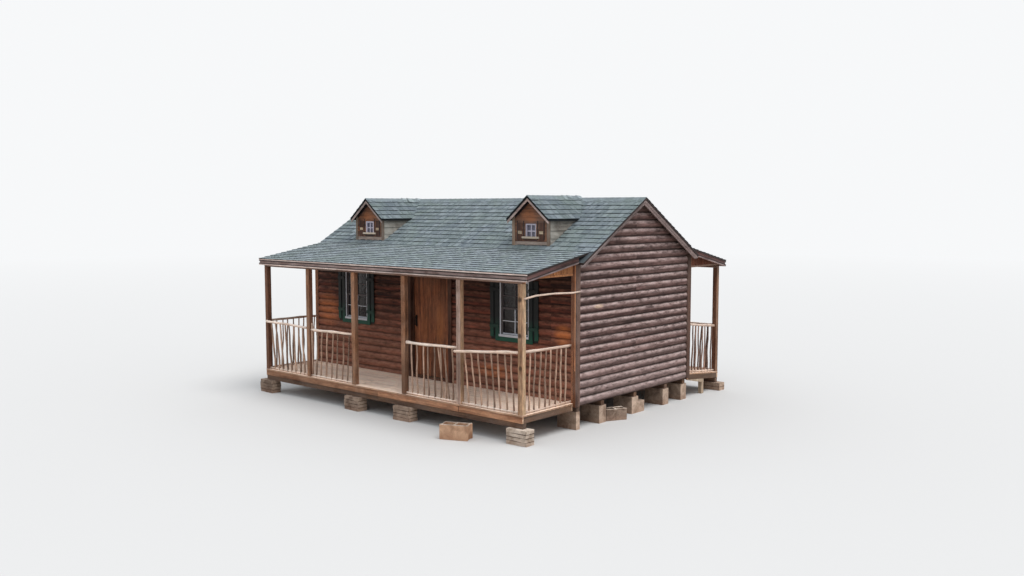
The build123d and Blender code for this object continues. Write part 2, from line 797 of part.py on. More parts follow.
# Hinges: the knuckles on the leaf rest on the knuckles on the jamb
hinge_x = leaf_half + door_gap / 2
hinge_y = door_inner + hinge_radius
half_knuckle = hinge_length / 2
strap_y = (door_inner, door_inner + hinge_plate)
leaf_knuckles = []
jamb_knuckles = []
for height in hinge_heights:
    z = door_bottom + height
    upper = upright_bar(hinge_x, hinge_y, hinge_radius, hinge_sides, (z + hinge_play, z + half_knuckle))
    lower = upright_bar(hinge_x, hinge_y, hinge_radius, hinge_sides, (z - half_knuckle, z))
    leaf_strap = block_between((leaf_half - hinge_strap, hinge_x), strap_y,
                               (z + hinge_play, z + half_knuckle))
    jamb_strap = block_between((hinge_x, hinge_x + hinge_strap), strap_y, (z - half_knuckle, z))
    leaf_knuckles.append(upper + leaf_strap)
    jamb_knuckles.append(lower + jamb_strap)
save("leaf_hinges", *leaf_knuckles)
save("jamb_hinges", *jamb_knuckles)

# Latch: a plate with a bail handle on the outer face
latch_x = -leaf_half + latch_inset
latch_z = door_bottom + latch_height
latch = block_between((latch_x - latch_plate_width / 2, latch_x + latch_plate_width / 2),
                      (door_outer - latch_plate_depth, door_outer),
                      (latch_z - latch_plate_height / 2, latch_z + latch_plate_height / 2))
for side in (-1, 1):
    lug_z = latch_z + side * latch_lug_spread / 2
    latch += block_between((latch_x - latch_lug / 2, latch_x + latch_lug / 2),
                           (door_outer - latch_bar_reach, door_outer - latch_plate_depth),
                           (lug_z - latch_lug / 2, lug_z + latch_lug / 2))
latch += upright_bar(latch_x, door_outer - latch_bar_reach, latch_bar_radius, latch_bar_sides,
                     (latch_z - latch_bar_length / 2, latch_z + latch_bar_length / 2))
save("door_latch", latch)

# Rear door, closed in the same opening
rear_face = body_depth - rear_door_setback
rear_door = planked_leaf(opening_half, (rear_face - door_thickness, rear_face), (floor_top, opening_top),
                         rear_face)
save("rear_door", rear_door)
rear_casing_y = (body_depth, body_depth + casing_thickness)
casing = block_between((jamb_edge, casing_reach), rear_casing_y, (floor_top, head_bottom))
top_casing = block_between((-casing_reach, casing_reach), rear_casing_y, head_casing_z)
save("rear_door_casing", casing + mirrored(casing) + top_casing)
save("rear_door_sill", to_rear(door_sill))


# Windows, drawn for the front wall and repeated on the rear one
def window_frame(x):
    """Frame ring with a sill nose, set in a long wall."""
    low, high = window_span(x)
    ring = block_between((low, high), (0, frame_depth), (window_bottom, window_top))
    ring -= block_between((low + frame_face, high - frame_face), wall_cut,
                          (window_bottom + frame_face, window_top - frame_face))
    return ring + block_between((low, high), (-sill_reach, 0), (window_bottom, window_bottom + sill_height))


def window_pane(x):
    """Glass sheet across a window, halfway through the frame."""
    low, high = window_span(x)
    glass_y = (frame_depth / 2 - glass_thickness / 2, frame_depth / 2 + glass_thickness / 2)
    return block_between((low + frame_face, high - frame_face), glass_y,
                         (window_bottom + frame_face, window_top - frame_face))


def shutter(x, side):
    """Two boards with a slot between them and two battens across."""
    edge = x + side * window_width / 2
    slot = edge + side * (shutter_board + shutter_slot)
    board_y = (-shutter_thickness, 0)
    batten_y = (-shutter_thickness - batten_thickness, -shutter_thickness)
    foot = window_bottom - shutter_drop
    top = window_top + shutter_rise
    piece = block_between((edge, edge + side * shutter_board), board_y, (foot, top))
    piece += block_between((slot, slot + side * shutter_board), board_y, (foot + shutter_step, top))
    for low in (window_bottom + lower_batten_spot, top - upper_batten_spot):
        piece += block_between((edge, slot + side * shutter_board), batten_y, (low, low + batten_height))
    return piece


frames = [window_frame(x) for x in window_xs]
panes = [window_pane(x) for x in window_xs]
aprons = [block_between(window_span(x), (-apron_thickness, 0), (window_bottom - apron_height, window_bottom))
          for x in window_xs]
shutters = [shutter(x, side) for x in window_xs for side in (-1, 1)]
save("window_aprons", *aprons, *[to_rear(piece) for piece in aprons])
save("window_shutters", *shutters, *[to_rear(piece) for piece in shutters])

# Dormers
dormer_slope = math.tan(math.radians(dormer_pitch))
dormer_stretch = math.hypot(1, dormer_slope)
dormer_half = dormer_width / 2
dormer_window_z = (dormer_window_bottom, dormer_window_bottom + dormer_window_height)
below_roof = side_profile([(-cut_margin, main_top(-cut_margin)), (ridge_line, ridge_height), (ridge_line, 0),
                           (-cut_margin, 0)], (-half_length, half_length))


def dormer_under(x):
    """Height of the underside of a dormer's roof along its ridge."""
    return dormer_tops[x] - dormer_skin * dormer_stretch


def dormer_outline(x, half, lift):
    """Five-sided outline of a dormer's body or of the room inside it."""
    crown = dormer_under(x) - lift
    foot = break_height - cut_margin
    return [(x - half, foot), (x - half, crown - dormer_slope * half), (x, crown),
            (x + half, crown - dormer_slope * half), (x + half, foot)]


def gable_band(x, reach, depth, y_span):
    """Band of even depth that hangs from the underside of a dormer's roof."""
    crown = dormer_under(x)
    eave = crown - dormer_slope * reach
    drop = depth * dormer_stretch
    return front_profile([(x - reach, eave), (x, crown), (x + reach, eave), (x + reach, eave - drop),
                          (x, crown - drop), (x - reach, eave - drop)], y_span)


def dormer_body(x):
    """Front wall and two cheeks, standing on the main roof."""
    shell = front_profile(dormer_outline(x, dormer_half, 0), (dormer_face, ridge_line))
    lift = dormer_wall * (dormer_stretch - dormer_slope)
    inner = dormer_outline(x, dormer_half - dormer_wall, lift)
    room = front_profile(inner, (dormer_face + dormer_wall, ridge_line))
    hole = block_between((x - dormer_window_width / 2, x + dormer_window_width / 2),
                         (dormer_face - cut_margin, dormer_face + 2 * dormer_wall), dormer_window_z)
    return shell - room - hole - below_roof - ridge_cap


def dormer_cover(x):
    """Gabled roof of a dormer, cut to lie on the main roof."""
    reach = dormer_half + dormer_eave_reach
    skin = Pos(0, 0, dormer_skin * dormer_stretch) * gable_band(
        x, reach, dormer_skin, (dormer_face - dormer_front_reach, ridge_line))
    return skin - below_roof - ridge_cap


def dormer_boards(x):
    """Rake boards under the front of the roof, corner boards and a shutter each side of the window."""
    rake_y = dormer_face - dormer_front_reach + dormer_rake_setback
    trim_y = (dormer_face - dormer_trim_thickness, dormer_face)
    pieces = [gable_band(x, dormer_half + dormer_eave_reach - dormer_rake_setback, dormer_rake_height,
                         (rake_y, rake_y + dormer_trim_thickness))]
    wall_face = front_profile(dormer_outline(x, dormer_half, 0), trim_y) - below_roof
    shutter_z = (dormer_window_z[0] - dormer_shutter_drop, dormer_window_z[1] + dormer_shutter_rise)
    for side in (-1, 1):
        edge = x + side * dormer_half
        corner_x = (edge, edge - side * dormer_trim_width)
        frame_edge = x + side * (dormer_window_width / 2 + dormer_sill_side)
        shutter_x = (frame_edge, frame_edge + side * dormer_shutter_width)
        pieces.append(wall_face & block_between(corner_x, trim_y, (0, ridge_height)))
        pieces.append(block_between(shutter_x, trim_y, shutter_z))
    return pieces


def dormer_frame(x):
    """Small window frame with a sill nose."""
    half = dormer_window_width / 2
    inner = half - dormer_frame_face
    face_y = dormer_face - dormer_frame_reach
    low, high = dormer_window_z
    ring = block_between((x - half, x + half), (face_y, dormer_face + dormer_wall), dormer_window_z)
    ring -= block_between((x - inner, x + inner), (dormer_face - cut_margin, dormer_face + cut_margin),
                          (low + dormer_frame_face, high - dormer_frame_face))
    return ring + block_between((x - half - dormer_sill_side, x + half + dormer_sill_side),
                                (face_y - dormer_sill_reach, face_y), (low, low + dormer_sill_height))


def dormer_pane(x):
    """Glass of a dormer's window."""
    inner = dormer_window_width / 2 - dormer_frame_face
    middle = dormer_face + dormer_wall / 2
    return block_between((x - inner, x + inner), (middle, middle + dormer_glass_thickness),
                         (dormer_window_z[0] + dormer_frame_face, dormer_window_z[1] - dormer_frame_face))


save("dormer_walls", *[dormer_body(x) for x in dormer_tops])
save("dormer_roofs", *[dormer_cover(x) for x in dormer_tops])
save("dormer_trim", *[piece for x in dormer_tops for piece in dormer_boards(x)])
save("window_frames", *frames, *[to_rear(piece) for piece in frames],
     *[dormer_frame(x) for x in dormer_tops])
save("window_glass", *panes, *[to_rear(piece) for piece in panes], *[dormer_pane(x) for x in dormer_tops])
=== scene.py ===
import logging
import math
import random
from dataclasses import dataclass, field, replace
from enum import Enum, IntEnum
from typing import Callable, Iterable, Sequence

import bmesh
import bpy
from mathutils import Matrix, Vector, noise

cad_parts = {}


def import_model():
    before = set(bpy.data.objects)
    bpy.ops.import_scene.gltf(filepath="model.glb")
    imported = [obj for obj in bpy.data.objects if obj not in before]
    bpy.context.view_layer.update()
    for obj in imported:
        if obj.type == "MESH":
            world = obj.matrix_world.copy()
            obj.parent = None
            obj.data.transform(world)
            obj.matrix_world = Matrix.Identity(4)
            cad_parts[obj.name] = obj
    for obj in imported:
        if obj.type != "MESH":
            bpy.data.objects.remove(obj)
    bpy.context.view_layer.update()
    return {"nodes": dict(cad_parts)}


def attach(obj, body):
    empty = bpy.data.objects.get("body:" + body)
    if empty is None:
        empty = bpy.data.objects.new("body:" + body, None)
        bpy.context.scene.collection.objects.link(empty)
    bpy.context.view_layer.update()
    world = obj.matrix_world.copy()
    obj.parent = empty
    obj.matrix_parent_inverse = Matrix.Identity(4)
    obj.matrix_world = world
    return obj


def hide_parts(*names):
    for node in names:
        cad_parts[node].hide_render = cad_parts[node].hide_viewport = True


logging.basicConfig(level=logging.INFO, format="%(message)s")
log = logging.getLogger("cabin")

Span = tuple[float, float]
Point = tuple[float, float, float]
Colour = tuple[float, float, float]
Socket = bpy.types.NodeSocket
Slope = Callable[[float, float, float], Point]

# Vertex attribute that holds the chance tone of each solid
TONE = "tone"
# Pitch along an axis on which a finish isn't split into boards
WIDE = 40.0
# Tone of solids that all look alike
EVEN = 0.5
# Share of a six-sided pole's radius at which its flats lie, as in the CAD
HEX_FLAT = math.cos(math.pi / 6)
# Half size of a patch along an axis that doesn't bound it
FAR = 1e3
# Linear colours of a dark patch, a stain on most boards and painted shade on the door, and of the painted
# shade in a groove
DARK_STAIN_AND_SHADE: Colour = (0.02, 0.012, 0.01)
SHADE: Colour = (0.016, 0.009, 0.007)
# Least part of a face's normal along X for a flat side, and upwards for a slope
SIDEWAYS = 0.8
UPWARD = 0.4
# Least part of a face's normal along an axis for a face with its worn edges
FACING = 0.7


def tint(red: int, green: int, blue: int) -> Colour:
    """Linear colour of a screen colour given from 0 to 255."""
    def linear(value: int) -> float:
        """One channel, made linear."""
        share = value / 255
        return share / 12.92 if share <= 0.04045 else ((share + 0.055) / 1.055) ** 2.4
    return linear(red), linear(green), linear(blue)


class Grain(Enum):
    """Which way the grain of a board runs, as the stretch of the pattern along X, Y and Z."""

    X = (0.05, 1.0, 1.0)
    Y = (1.0, 0.05, 1.0)
    Z = (1.0, 1.0, 0.05)


class Wall(Enum):
    """The two long walls, as the direction away from the cabin."""

    FRONT = -1
    REAR = 1


# Shader graphs
class Graph:
    """Short hand for adding and wiring the nodes of one tree."""

    def __init__(self, tree: bpy.types.NodeTree) -> None:
        """Keeps the tree that the nodes go into."""
        self.tree = tree

    def wire(self, socket: Socket, value: object) -> None:
        """Links a socket into another, or sets it to a plain value.

        Args:
            socket: The input to fill.
            value: An output socket, a number, a colour or a vector.
        """
        if isinstance(value, Socket):
            self.tree.links.new(value, socket)
        elif isinstance(value, tuple) and len(value) == 3 and socket.type == "RGBA":
            socket.default_value = (*value, 1.0)
        else:
            socket.default_value = value

    def node(self, kind: str, inputs: dict[str | int, object] | None = None,
             **settings: object) -> bpy.types.Node:
        """Adds a node.

        Args:
            kind: The node's type, without its ShaderNode prefix.
            inputs: Values or sockets by input name or number.
            **settings: The node's own properties.

        Returns:
            The new node.
        """
        made = self.tree.nodes.new("ShaderNode" + kind)
        for name, value in settings.items():
            setattr(made, name, value)
        for name, value in (inputs or {}).items():
            self.wire(made.inputs[name], value)
        return made

    def math(self, operation: str, *values: object, clamp: bool = False) -> Socket:
        """Result of a number operation on sockets or plain numbers."""
        made = self.node("Math", dict(enumerate(values)), operation=operation, use_clamp=clamp)
        return made.outputs[0]

    def vector(self, operation: str, *values: object) -> Socket:
        """Result of a vector operation on sockets or plain vectors."""
        made = self.node("VectorMath", dict(enumerate(values)), operation=operation)
        return made.outputs[0]

    def mix(self, share: object, first: object, second: object, blend: str = "MIX") -> Socket:
        """Colour between two others."""
        made = self.node("Mix", data_type="RGBA", blend_type=blend)
        self.wire(made.inputs[0], share)
        self.wire(made.inputs[6], first)
        self.wire(made.inputs[7], second)
        return made.outputs[2]

    def remap(self, value: object, low: float, high: float, to_low: float = 0.0,
              to_high: float = 1.0) -> Socket:
        """Number moved from one range to another and held inside it."""
        made = self.node("MapRange", {0: value, 1: low, 2: high, 3: to_low, 4: to_high})
        return made.outputs[0]

    def noise(self, vector: object, scale: float, detail: float = 4.0, rough: float = 0.55,
              distortion: float = 0.0) -> Socket:
        """Plain noise from 0 to 1."""
        made = self.node("TexNoise", {"Vector": vector, "Scale": scale, "Detail": detail, "Roughness": rough,
                                      "Distortion": distortion})
        return made.outputs["Fac"]

    def length(self, vector: object) -> Socket:
        """Length of a vector."""
        return self.node("VectorMath", {0: vector}, operation="LENGTH").outputs["Value"]

    def height(self, place: object) -> Socket:
        """Height of a place."""
        return self.node("SeparateXYZ", {0: place}).outputs[2]

    def tone(self) -> Socket:
        """Chance tone of the solid that is looked at."""
        return self.node("Attribute", attribute_name=TONE).outputs["Fac"]

    def shade(self, colour: object, share: Socket) -> Socket:
        """Colour made darker or lighter by a share."""
        grey = self.node("CombineColor", {0: share, 1: share, 2: share}).outputs[0]
        return self.mix(1.0, colour, grey, "MULTIPLY")

    def group(self, tree: bpy.types.NodeTree, inputs: dict[str, object]) -> bpy.types.Node:
        """Places a shared node group.

        Args:
            tree: The group.
            inputs: Values or sockets by the group's input names.

        Returns:
            The group node.
        """
        made = self.tree.nodes.new("ShaderNodeGroup")
        made.node_tree = tree
        for name, value in inputs.items():
            self.wire(made.inputs[name], value)
        return made

    def relief(self, surface: bpy.types.Node, height: object, depth: float) -> None:
        """Gives a surface shader a bump of a depth in metres."""
        bump = self.node("Bump", {"Height": height, "Distance": depth, "Strength": 1.0})
        self.wire(surface.inputs["Normal"], bump.outputs["Normal"])


def group_tree(name: str, inputs: Sequence[tuple[str, str, object]],
               outputs: Sequence[tuple[str, str]]) -> tuple[Graph, bpy.types.Node, bpy.types.Node]:
    """Starts a shader node group with named sockets.

    Args:
        name: The group's name.
        inputs: Name, kind and first value of each input.
        outputs: Name and kind of each output.

    Returns:
        The group's graph, its input node and its output node.
    """
    tree = bpy.data.node_groups.new(name, "ShaderNodeTree")
    for label, kind, value in inputs:
        socket = tree.interface.new_socket(label, in_out="INPUT", socket_type="NodeSocket" + kind)
        socket.default_value = value
    for label, kind in outputs:
        tree.interface.new_socket(label, in_out="OUTPUT", socket_type="NodeSocket" + kind)
    graph = Graph(tree)
    return graph, tree.nodes.new("NodeGroupInput"), tree.nodes.new("NodeGroupOutput")


class Effects:
    """The shader node groups that several materials share, each built once."""

    def __init__(self) -> None:
        """Builds every group."""
        self.boards = self._boards()
        self.grain = self._grain()
        self.courses = self._courses()
        self.weather = self._weather()

    def stains(self, graph: Graph, place: Socket, scale: float) -> tuple[Socket, Socket]:
        """Broad stains and fine dust at a place, by their scale."""
        made = graph.group(self.weather, {"Vector": place, "Scale": scale})
        return made.outputs["Stain"], made.outputs["Dust"]

    def _boards(self) -> bpy.types.NodeTree:
        """Splits space into boards: a tone for each board and a shifted place for its own grain."""
        graph, given, out = group_tree(
            "board_split",
            [("Vector", "Vector", (0, 0, 0)), ("Pitch", "Vector", (1, 1, 1)), ("Piece", "Float", 0.0)],
            [("Tone", "Float"), ("Shifted", "Vector")])
        cell = graph.vector("FLOOR", graph.vector("DIVIDE", given.outputs["Vector"], given.outputs["Pitch"]))
        piece = graph.node("CombineXYZ", {0: given.outputs["Piece"], 1: given.outputs["Piece"]}).outputs[0]
        keyed = graph.vector("ADD", cell, graph.vector("MULTIPLY", piece, (97.0, 53.0, 0.0)))
        white = graph.node("TexWhiteNoise", {"Vector": keyed}, noise_dimensions="3D")
        shift = graph.vector("MULTIPLY", white.outputs["Color"], (9.0, 9.0, 9.0))
        graph.wire(out.inputs["Tone"], white.outputs["Value"])
        graph.wire(out.inputs["Shifted"], graph.vector("ADD", given.outputs["Vector"], shift))
        return graph.tree

    def _grain(self) -> bpy.types.NodeTree:
        """Wood grain along a stretched axis: fibres, broad streaks and knots."""
        graph, given, out = group_tree(
            "wood_grain",
            [("Vector", "Vector", (0, 0, 0)), ("Stretch", "Vector", (1, 1, 1)), ("Knots", "Float", 0.5)],
            [(name, "Float") for name in ("Fibre", "Streak", "Knot", "Mottle", "Height")])
        place = graph.vector("MULTIPLY", given.outputs["Vector"], given.outputs["Stretch"])
        fibre = graph.noise(place, 95.0, 5.0, 0.7)
        streak = graph.noise(place, 17.0, 3.0, 0.55, 0.6)
        loose = graph.vector("MULTIPLY", graph.vector("POWER", given.outputs["Stretch"], (0.4, 0.4, 0.4)),
                             given.outputs["Vector"])
        mottle = graph.remap(graph.noise(loose, 19.0, 5.0, 0.72), 0.3, 0.7)
        cells = graph.node("TexVoronoi", {"Vector": loose, "Scale": 5.5, "Randomness": 1.0})
        knot = graph.math("MULTIPLY", graph.remap(cells.outputs["Distance"], 0.04, 0.11, 1.0, 0.0),
                          given.outputs["Knots"])
        height = graph.math("ADD", graph.math("MULTIPLY", fibre, 0.7), graph.math("MULTIPLY", streak, 0.5))
        height = graph.math("SUBTRACT", height, graph.math("MULTIPLY", knot, 0.6))
        for name, value in (("Fibre", fibre), ("Streak", streak), ("Knot", knot), ("Mottle", mottle),
                            ("Height", height)):
            graph.wire(out.inputs[name], value)
        return graph.tree

    def _courses(self) -> bpy.types.NodeTree:
        """Level log courses: where a point lies between the grooves, and how deep in one it is."""
        graph, given, out = group_tree(
            "log_courses",
            [("Vector", "Vector", (0, 0, 0)), ("Start", "Float", 0.0), ("Pitch", "Float", 1.0)],
            [("Rise", "Float"), ("Groove", "Float")])
        above = graph.math("SUBTRACT", graph.height(given.outputs["Vector"]), given.outputs["Start"])
        rows = graph.math("DIVIDE", above, given.outputs["Pitch"])
        rise = graph.math("FRACT", rows)
        centre = graph.math("ABSOLUTE", graph.math("SUBTRACT", rise, 0.5))
        graph.wire(out.inputs["Rise"], rise)
        graph.wire(out.inputs["Groove"], graph.remap(centre, 0.33, 0.5))
        return graph.tree

    def _weather(self) -> bpy.types.NodeTree:
        """Broad stains and fine dust."""
        graph, given, out = group_tree(
            "weathering", [("Vector", "Vector", (0, 0, 0)), ("Scale", "Float", 1.0)],
            [("Stain", "Float"), ("Dust", "Float")])
        scale = graph.node("CombineXYZ", {axis: given.outputs["Scale"] for axis in range(3)}).outputs[0]
        place = graph.vector("MULTIPLY", given.outputs["Vector"], scale)
        graph.wire(out.inputs["Stain"], graph.remap(graph.noise(place, 1.7, 5.0, 0.6, 0.8), 0.38, 0.66))
        graph.wire(out.inputs["Dust"], graph.noise(place, 38.0, 6.0, 0.7))
        return graph.tree


@dataclass(frozen=True)
class Finish:
    """Base of the finishes: each one builds its own material once."""

    name: str
    slot: str

    def colour(self, graph: Graph, effects: Effects, place: Socket, surface: bpy.types.Node) -> None:
        """Fills the colour, roughness and relief of the surface shader."""
        raise NotImplementedError

    def material(self, effects: Effects) -> bpy.types.Material:
        """Builds the material.

        Args:
            effects: The shared node groups.

        Returns:
            The finished material.
        """
        made = bpy.data.materials.new(self.name)
        made.use_nodes = True
        made.node_tree.nodes.clear()
        graph = Graph(made.node_tree)
        surface = graph.node("BsdfPrincipled")
        out = graph.node("OutputMaterial")
        graph.wire(out.inputs["Surface"], surface.outputs["BSDF"])
        place = graph.node("TexCoord").outputs["Object"]
        self.colour(graph, effects, place, surface)
        return made


@dataclass(frozen=True)
class Patch:
    """Patch of colour on a wall, by its place along the wall, its height and its half sizes: most are stains,
    and a few are painted light and painted shade.
    """

    along: float
    z: float
    half: float
    rise: float
    share: float = 0.8
    dark: bool = False


@dataclass(frozen=True)
class Wood(Finish):
    """Sawn or weathered timber."""

    pale: Colour
    deep: Colour
    grey: Colour
    grain: Grain
    pitch: Point = (WIDE, WIDE, WIDE)
    swing: float = 0.45
    streak: float = 0.7
    knots: float = 0.5
    aged: float = 0.4
    roughness: float = 0.78
    depth: float = 0.0025
    start: float = 0.0
    # Log courses, by their start and pitch, with painted shade in the grooves, a painted highlight on each
    # crown and painted shade under each log
    course: float = 0.0
    groove_shade: float = 0.75
    crown_highlight: float = 0.0
    mottle: float = 0.3
    underside_shade: float = 0.0
    fade: Span = (0.0, 0.0)
    fade_share: float = 0.6
    # Heights over which the wood darkens upwards as painted shade under a roof, and how dark it gets at the
    # top
    painted_shade_span: Span = (0.0, 0.0)
    painted_shade_depth: float = 0.6
    patches: tuple[Patch, ...] = ()
    patch: Colour = (0.0, 0.0, 0.0)

    def colour(self, graph: Graph, effects: Effects, place: Socket, surface: bpy.types.Node) -> None:
        """Fills the surface shader."""
        shifted = graph.vector("SUBTRACT", place, (0.0, 0.0, self.start)) if self.course else place
        split = graph.group(effects.boards, {"Vector": shifted, "Pitch": self.pitch, "Piece": graph.tone()})
        grain = graph.group(effects.grain, {"Vector": split.outputs["Shifted"], "Stretch": self.grain.value,
                                            "Knots": self.knots})
        fibre, mottle = grain.outputs["Fibre"], grain.outputs["Mottle"]
        body = graph.mix(graph.remap(grain.outputs["Streak"], 0.32, 0.68), self.deep, self.pale)
        fibres = graph.remap(fibre, 0.3, 0.7, 1.0 - 0.5 * self.streak, 1.0 + 0.35 * self.streak)
        body = graph.shade(body, fibres)
        for value, swing in ((split.outputs["Tone"], self.swing), (mottle, self.mottle)):
            body = graph.shade(body, graph.remap(value, 0.0, 1.0, 1.0 - swing, 1.0 + swing))
        body = self.faded(graph, effects, place, mottle, body)
        # Painted shade: darker towards the top, as under a roof
        if self.painted_shade_span[1] > self.painted_shade_span[0]:
            painted_shade = graph.remap(graph.height(place), *self.painted_shade_span, 1.0, 1.0 - self.painted_shade_depth)
            body = graph.shade(body, painted_shade)
        for patch in self.patches:
            body = self.patched(graph, place, grain, patch, body)
        if self.course:
            body = self.coursed(graph, effects, place, mottle, body)
        knot = graph.mix(1.0, self.deep, (0.35, 0.3, 0.28), "MULTIPLY")
        body = graph.mix(graph.math("MULTIPLY", grain.outputs["Knot"], 0.85), body, knot)
        graph.wire(surface.inputs["Base Color"], body)
        graph.wire(surface.inputs["Roughness"],
                   graph.remap(fibre, 0.2, 0.8, self.roughness - 0.1, self.roughness + 0.1))
        surface.inputs["Specular IOR Level"].default_value = 0.28
        graph.relief(surface, grain.outputs["Height"], self.depth)

    def faded(self, graph: Graph, effects: Effects, place: Socket, mottle: Socket, body: Socket) -> Socket:
        """Greys the wood in stains and, where it has a fade, towards its foot."""
        stain, _ = effects.stains(graph, place, 1.0)
        grey = graph.math("MULTIPLY", stain, self.aged)
        if self.fade[0] > self.fade[1]:
            bleached = graph.remap(graph.height(place), self.fade[1], self.fade[0], self.fade_share, 0.0)
            bleached = graph.math("MULTIPLY", bleached, graph.remap(mottle, 0.0, 1.0, 0.4, 1.2))
            grey = graph.math("MAXIMUM", graph.math("MULTIPLY", grey, bleached), bleached)
        return graph.mix(grey, body, self.grey)

    def patched(self, graph: Graph, place: Socket, grain: bpy.types.Node, patch: Patch,
                body: Socket) -> Socket:
        """Adds one patch with a ragged edge."""
        across = self.grain is Grain.Y
        middle = (0.0, patch.along, patch.z) if across else (patch.along, 0.0, patch.z)
        size = (FAR, patch.half, patch.rise) if across else (patch.half, FAR, patch.rise)
        away = graph.length(graph.vector("DIVIDE", graph.vector("SUBTRACT", place, middle), size))
        ragged = graph.math("ADD", away, graph.math("MULTIPLY", grain.outputs["Streak"], 0.5))
        share = graph.math("MULTIPLY", graph.remap(ragged, 0.7, 1.3, patch.share, 0.0),
                           graph.remap(grain.outputs["Mottle"], 0.0, 0.7, 0.35, 1.0))
        return graph.mix(share, body, DARK_STAIN_AND_SHADE if patch.dark else self.patch)

    def coursed(self, graph: Graph, effects: Effects, place: Socket, mottle: Socket, body: Socket) -> Socket:
        """Paints light and shade on the level log courses: painted highlights on the crowns, painted shade on
        the undersides and in the grooves.
        """
        rows = graph.group(effects.courses, {"Vector": place, "Start": self.start, "Pitch": self.course})
        rise = rows.outputs["Rise"]
        crown = graph.math("MULTIPLY", graph.remap(rise, 0.45, 0.8, 0.0, self.crown_highlight),
                           graph.remap(mottle, 0.2, 0.8, 0.1, 1.0))
        body = graph.shade(graph.mix(crown, body, self.grey),
                           graph.remap(rise, 0.0, 0.42, 1.0 - self.underside_shade, 1.0))
        return graph.mix(graph.math("MULTIPLY", rows.outputs["Groove"], self.groove_shade), body, SHADE)


@dataclass(frozen=True)
class Concrete(Finish):
    """Cast concrete blocks with sand and stains."""

    pale: Colour
    deep: Colour
    ground: Colour

    def colour(self, graph: Graph, effects: Effects, place: Socket, surface: bpy.types.Node) -> None:
        """Fills the surface shader."""
        piece = graph.tone()
        stain, dust = effects.stains(graph, place, 3.0)
        body = graph.mix(stain, self.pale, self.deep)
        speck = graph.remap(dust, 0.3, 0.7, 0.64, 1.3)
        body = graph.shade(body, speck)
        swing = graph.remap(piece, 0.0, 1.0, 0.72, 1.15)
        body = graph.shade(body, swing)
        height = graph.height(place)
        splash = graph.math("MULTIPLY", graph.remap(height, 0.0, 0.13, 0.6, 0.0), dust)
        body = graph.mix(splash, body, self.ground)
        graph.wire(surface.inputs["Base Color"], body)
        graph.wire(surface.inputs["Roughness"], graph.remap(dust, 0.2, 0.8, 0.82, 0.98))
        surface.inputs["Specular IOR Level"].default_value = 0.2
        graph.relief(surface, dust, 0.005)


@dataclass(frozen=True)
class Shingle(Finish):
    """Mineral granules on roofing shingles, each tab with its own tone."""

    pale: Colour
    deep: Colour
    moss: Colour

    def colour(self, graph: Graph, effects: Effects, place: Socket, surface: bpy.types.Node) -> None:
        """Fills the surface shader."""
        piece = graph.tone()
        stain, dust = effects.stains(graph, place, 1.4)
        body = graph.mix(piece, self.deep, self.pale)
        body = graph.mix(graph.math("MULTIPLY", stain, 0.45), body, self.moss)
        granule = graph.node("TexVoronoi", {"Vector": place, "Scale": 420.0}).outputs["Color"]
        value = graph.node("RGBToBW", {0: granule}).outputs[0]
        speck = graph.remap(value, 0.1, 0.9, 0.62, 1.38)
        body = graph.shade(body, speck)
        blotch = graph.remap(dust, 0.3, 0.7, 0.86, 1.14)
        body = graph.shade(body, blotch)
        graph.wire(surface.inputs["Base Color"], body)
        graph.wire(surface.inputs["Roughness"], graph.remap(value, 0.0, 1.0, 0.86, 0.98))
        surface.inputs["Specular IOR Level"].default_value = 0.25
        graph.relief(surface, value, 0.0012)


@dataclass(frozen=True)
class Paint(Finish):
    """Painted boards, matte and a little dirty."""

    paint: Colour
    worn: Colour
    grain: Grain = Grain.Z
    wear: float = 0.25
    roughness: float = 0.5
    # Colour low down and the heights over which it turns into the paint: on the shutters, painted light below
    # and painted shade above
    low: Colour | None = None
    levels: Span = (1.4, 2.3)

    def colour(self, graph: Graph, effects: Effects, place: Socket, surface: bpy.types.Node) -> None:
        """Fills the surface shader."""
        piece = graph.tone()
        fibres = graph.group(effects.grain, {"Vector": place, "Stretch": self.grain.value, "Knots": 0.0})
        stain, _ = effects.stains(graph, place, 4.0)
        swing = graph.remap(piece, 0.0, 1.0, 0.8, 1.25)
        height = graph.height(place)
        coat = graph.mix(graph.remap(height, *self.levels), self.low or self.paint, self.paint)
        body = graph.shade(coat, swing)
        bare = graph.math("MULTIPLY", graph.remap(fibres.outputs["Fibre"], 0.48, 0.62), self.wear)
        bare = graph.math("MULTIPLY", bare, graph.remap(stain, 0.0, 1.0, 0.3, 1.6))
        graph.wire(surface.inputs["Base Color"], graph.mix(bare, body, self.worn))
        graph.wire(surface.inputs["Roughness"], graph.remap(fibres.outputs["Fibre"], 0.2, 0.8, self.roughness,
                                                            self.roughness + 0.2))
        surface.inputs["Specular IOR Level"].default_value = 0.4
        graph.relief(surface, fibres.outputs["Fibre"], 0.0008)


@dataclass(frozen=True)
class Iron(Finish):
    """Dark iron or painted sheet metal."""

    face: Colour
    rust: Colour
    metallic: float = 0.7

    def colour(self, graph: Graph, effects: Effects, place: Socket, surface: bpy.types.Node) -> None:
        """Fills the surface shader."""
        stain, dust = effects.stains(graph, place, 9.0)
        graph.wire(surface.inputs["Base Color"],
                   graph.mix(graph.math("MULTIPLY", stain, 0.5), self.face, self.rust))
        surface.inputs["Metallic"].default_value = self.metallic
        graph.wire(surface.inputs["Roughness"], graph.remap(dust, 0.2, 0.8, 0.45, 0.75))
        graph.relief(surface, dust, 0.0006)


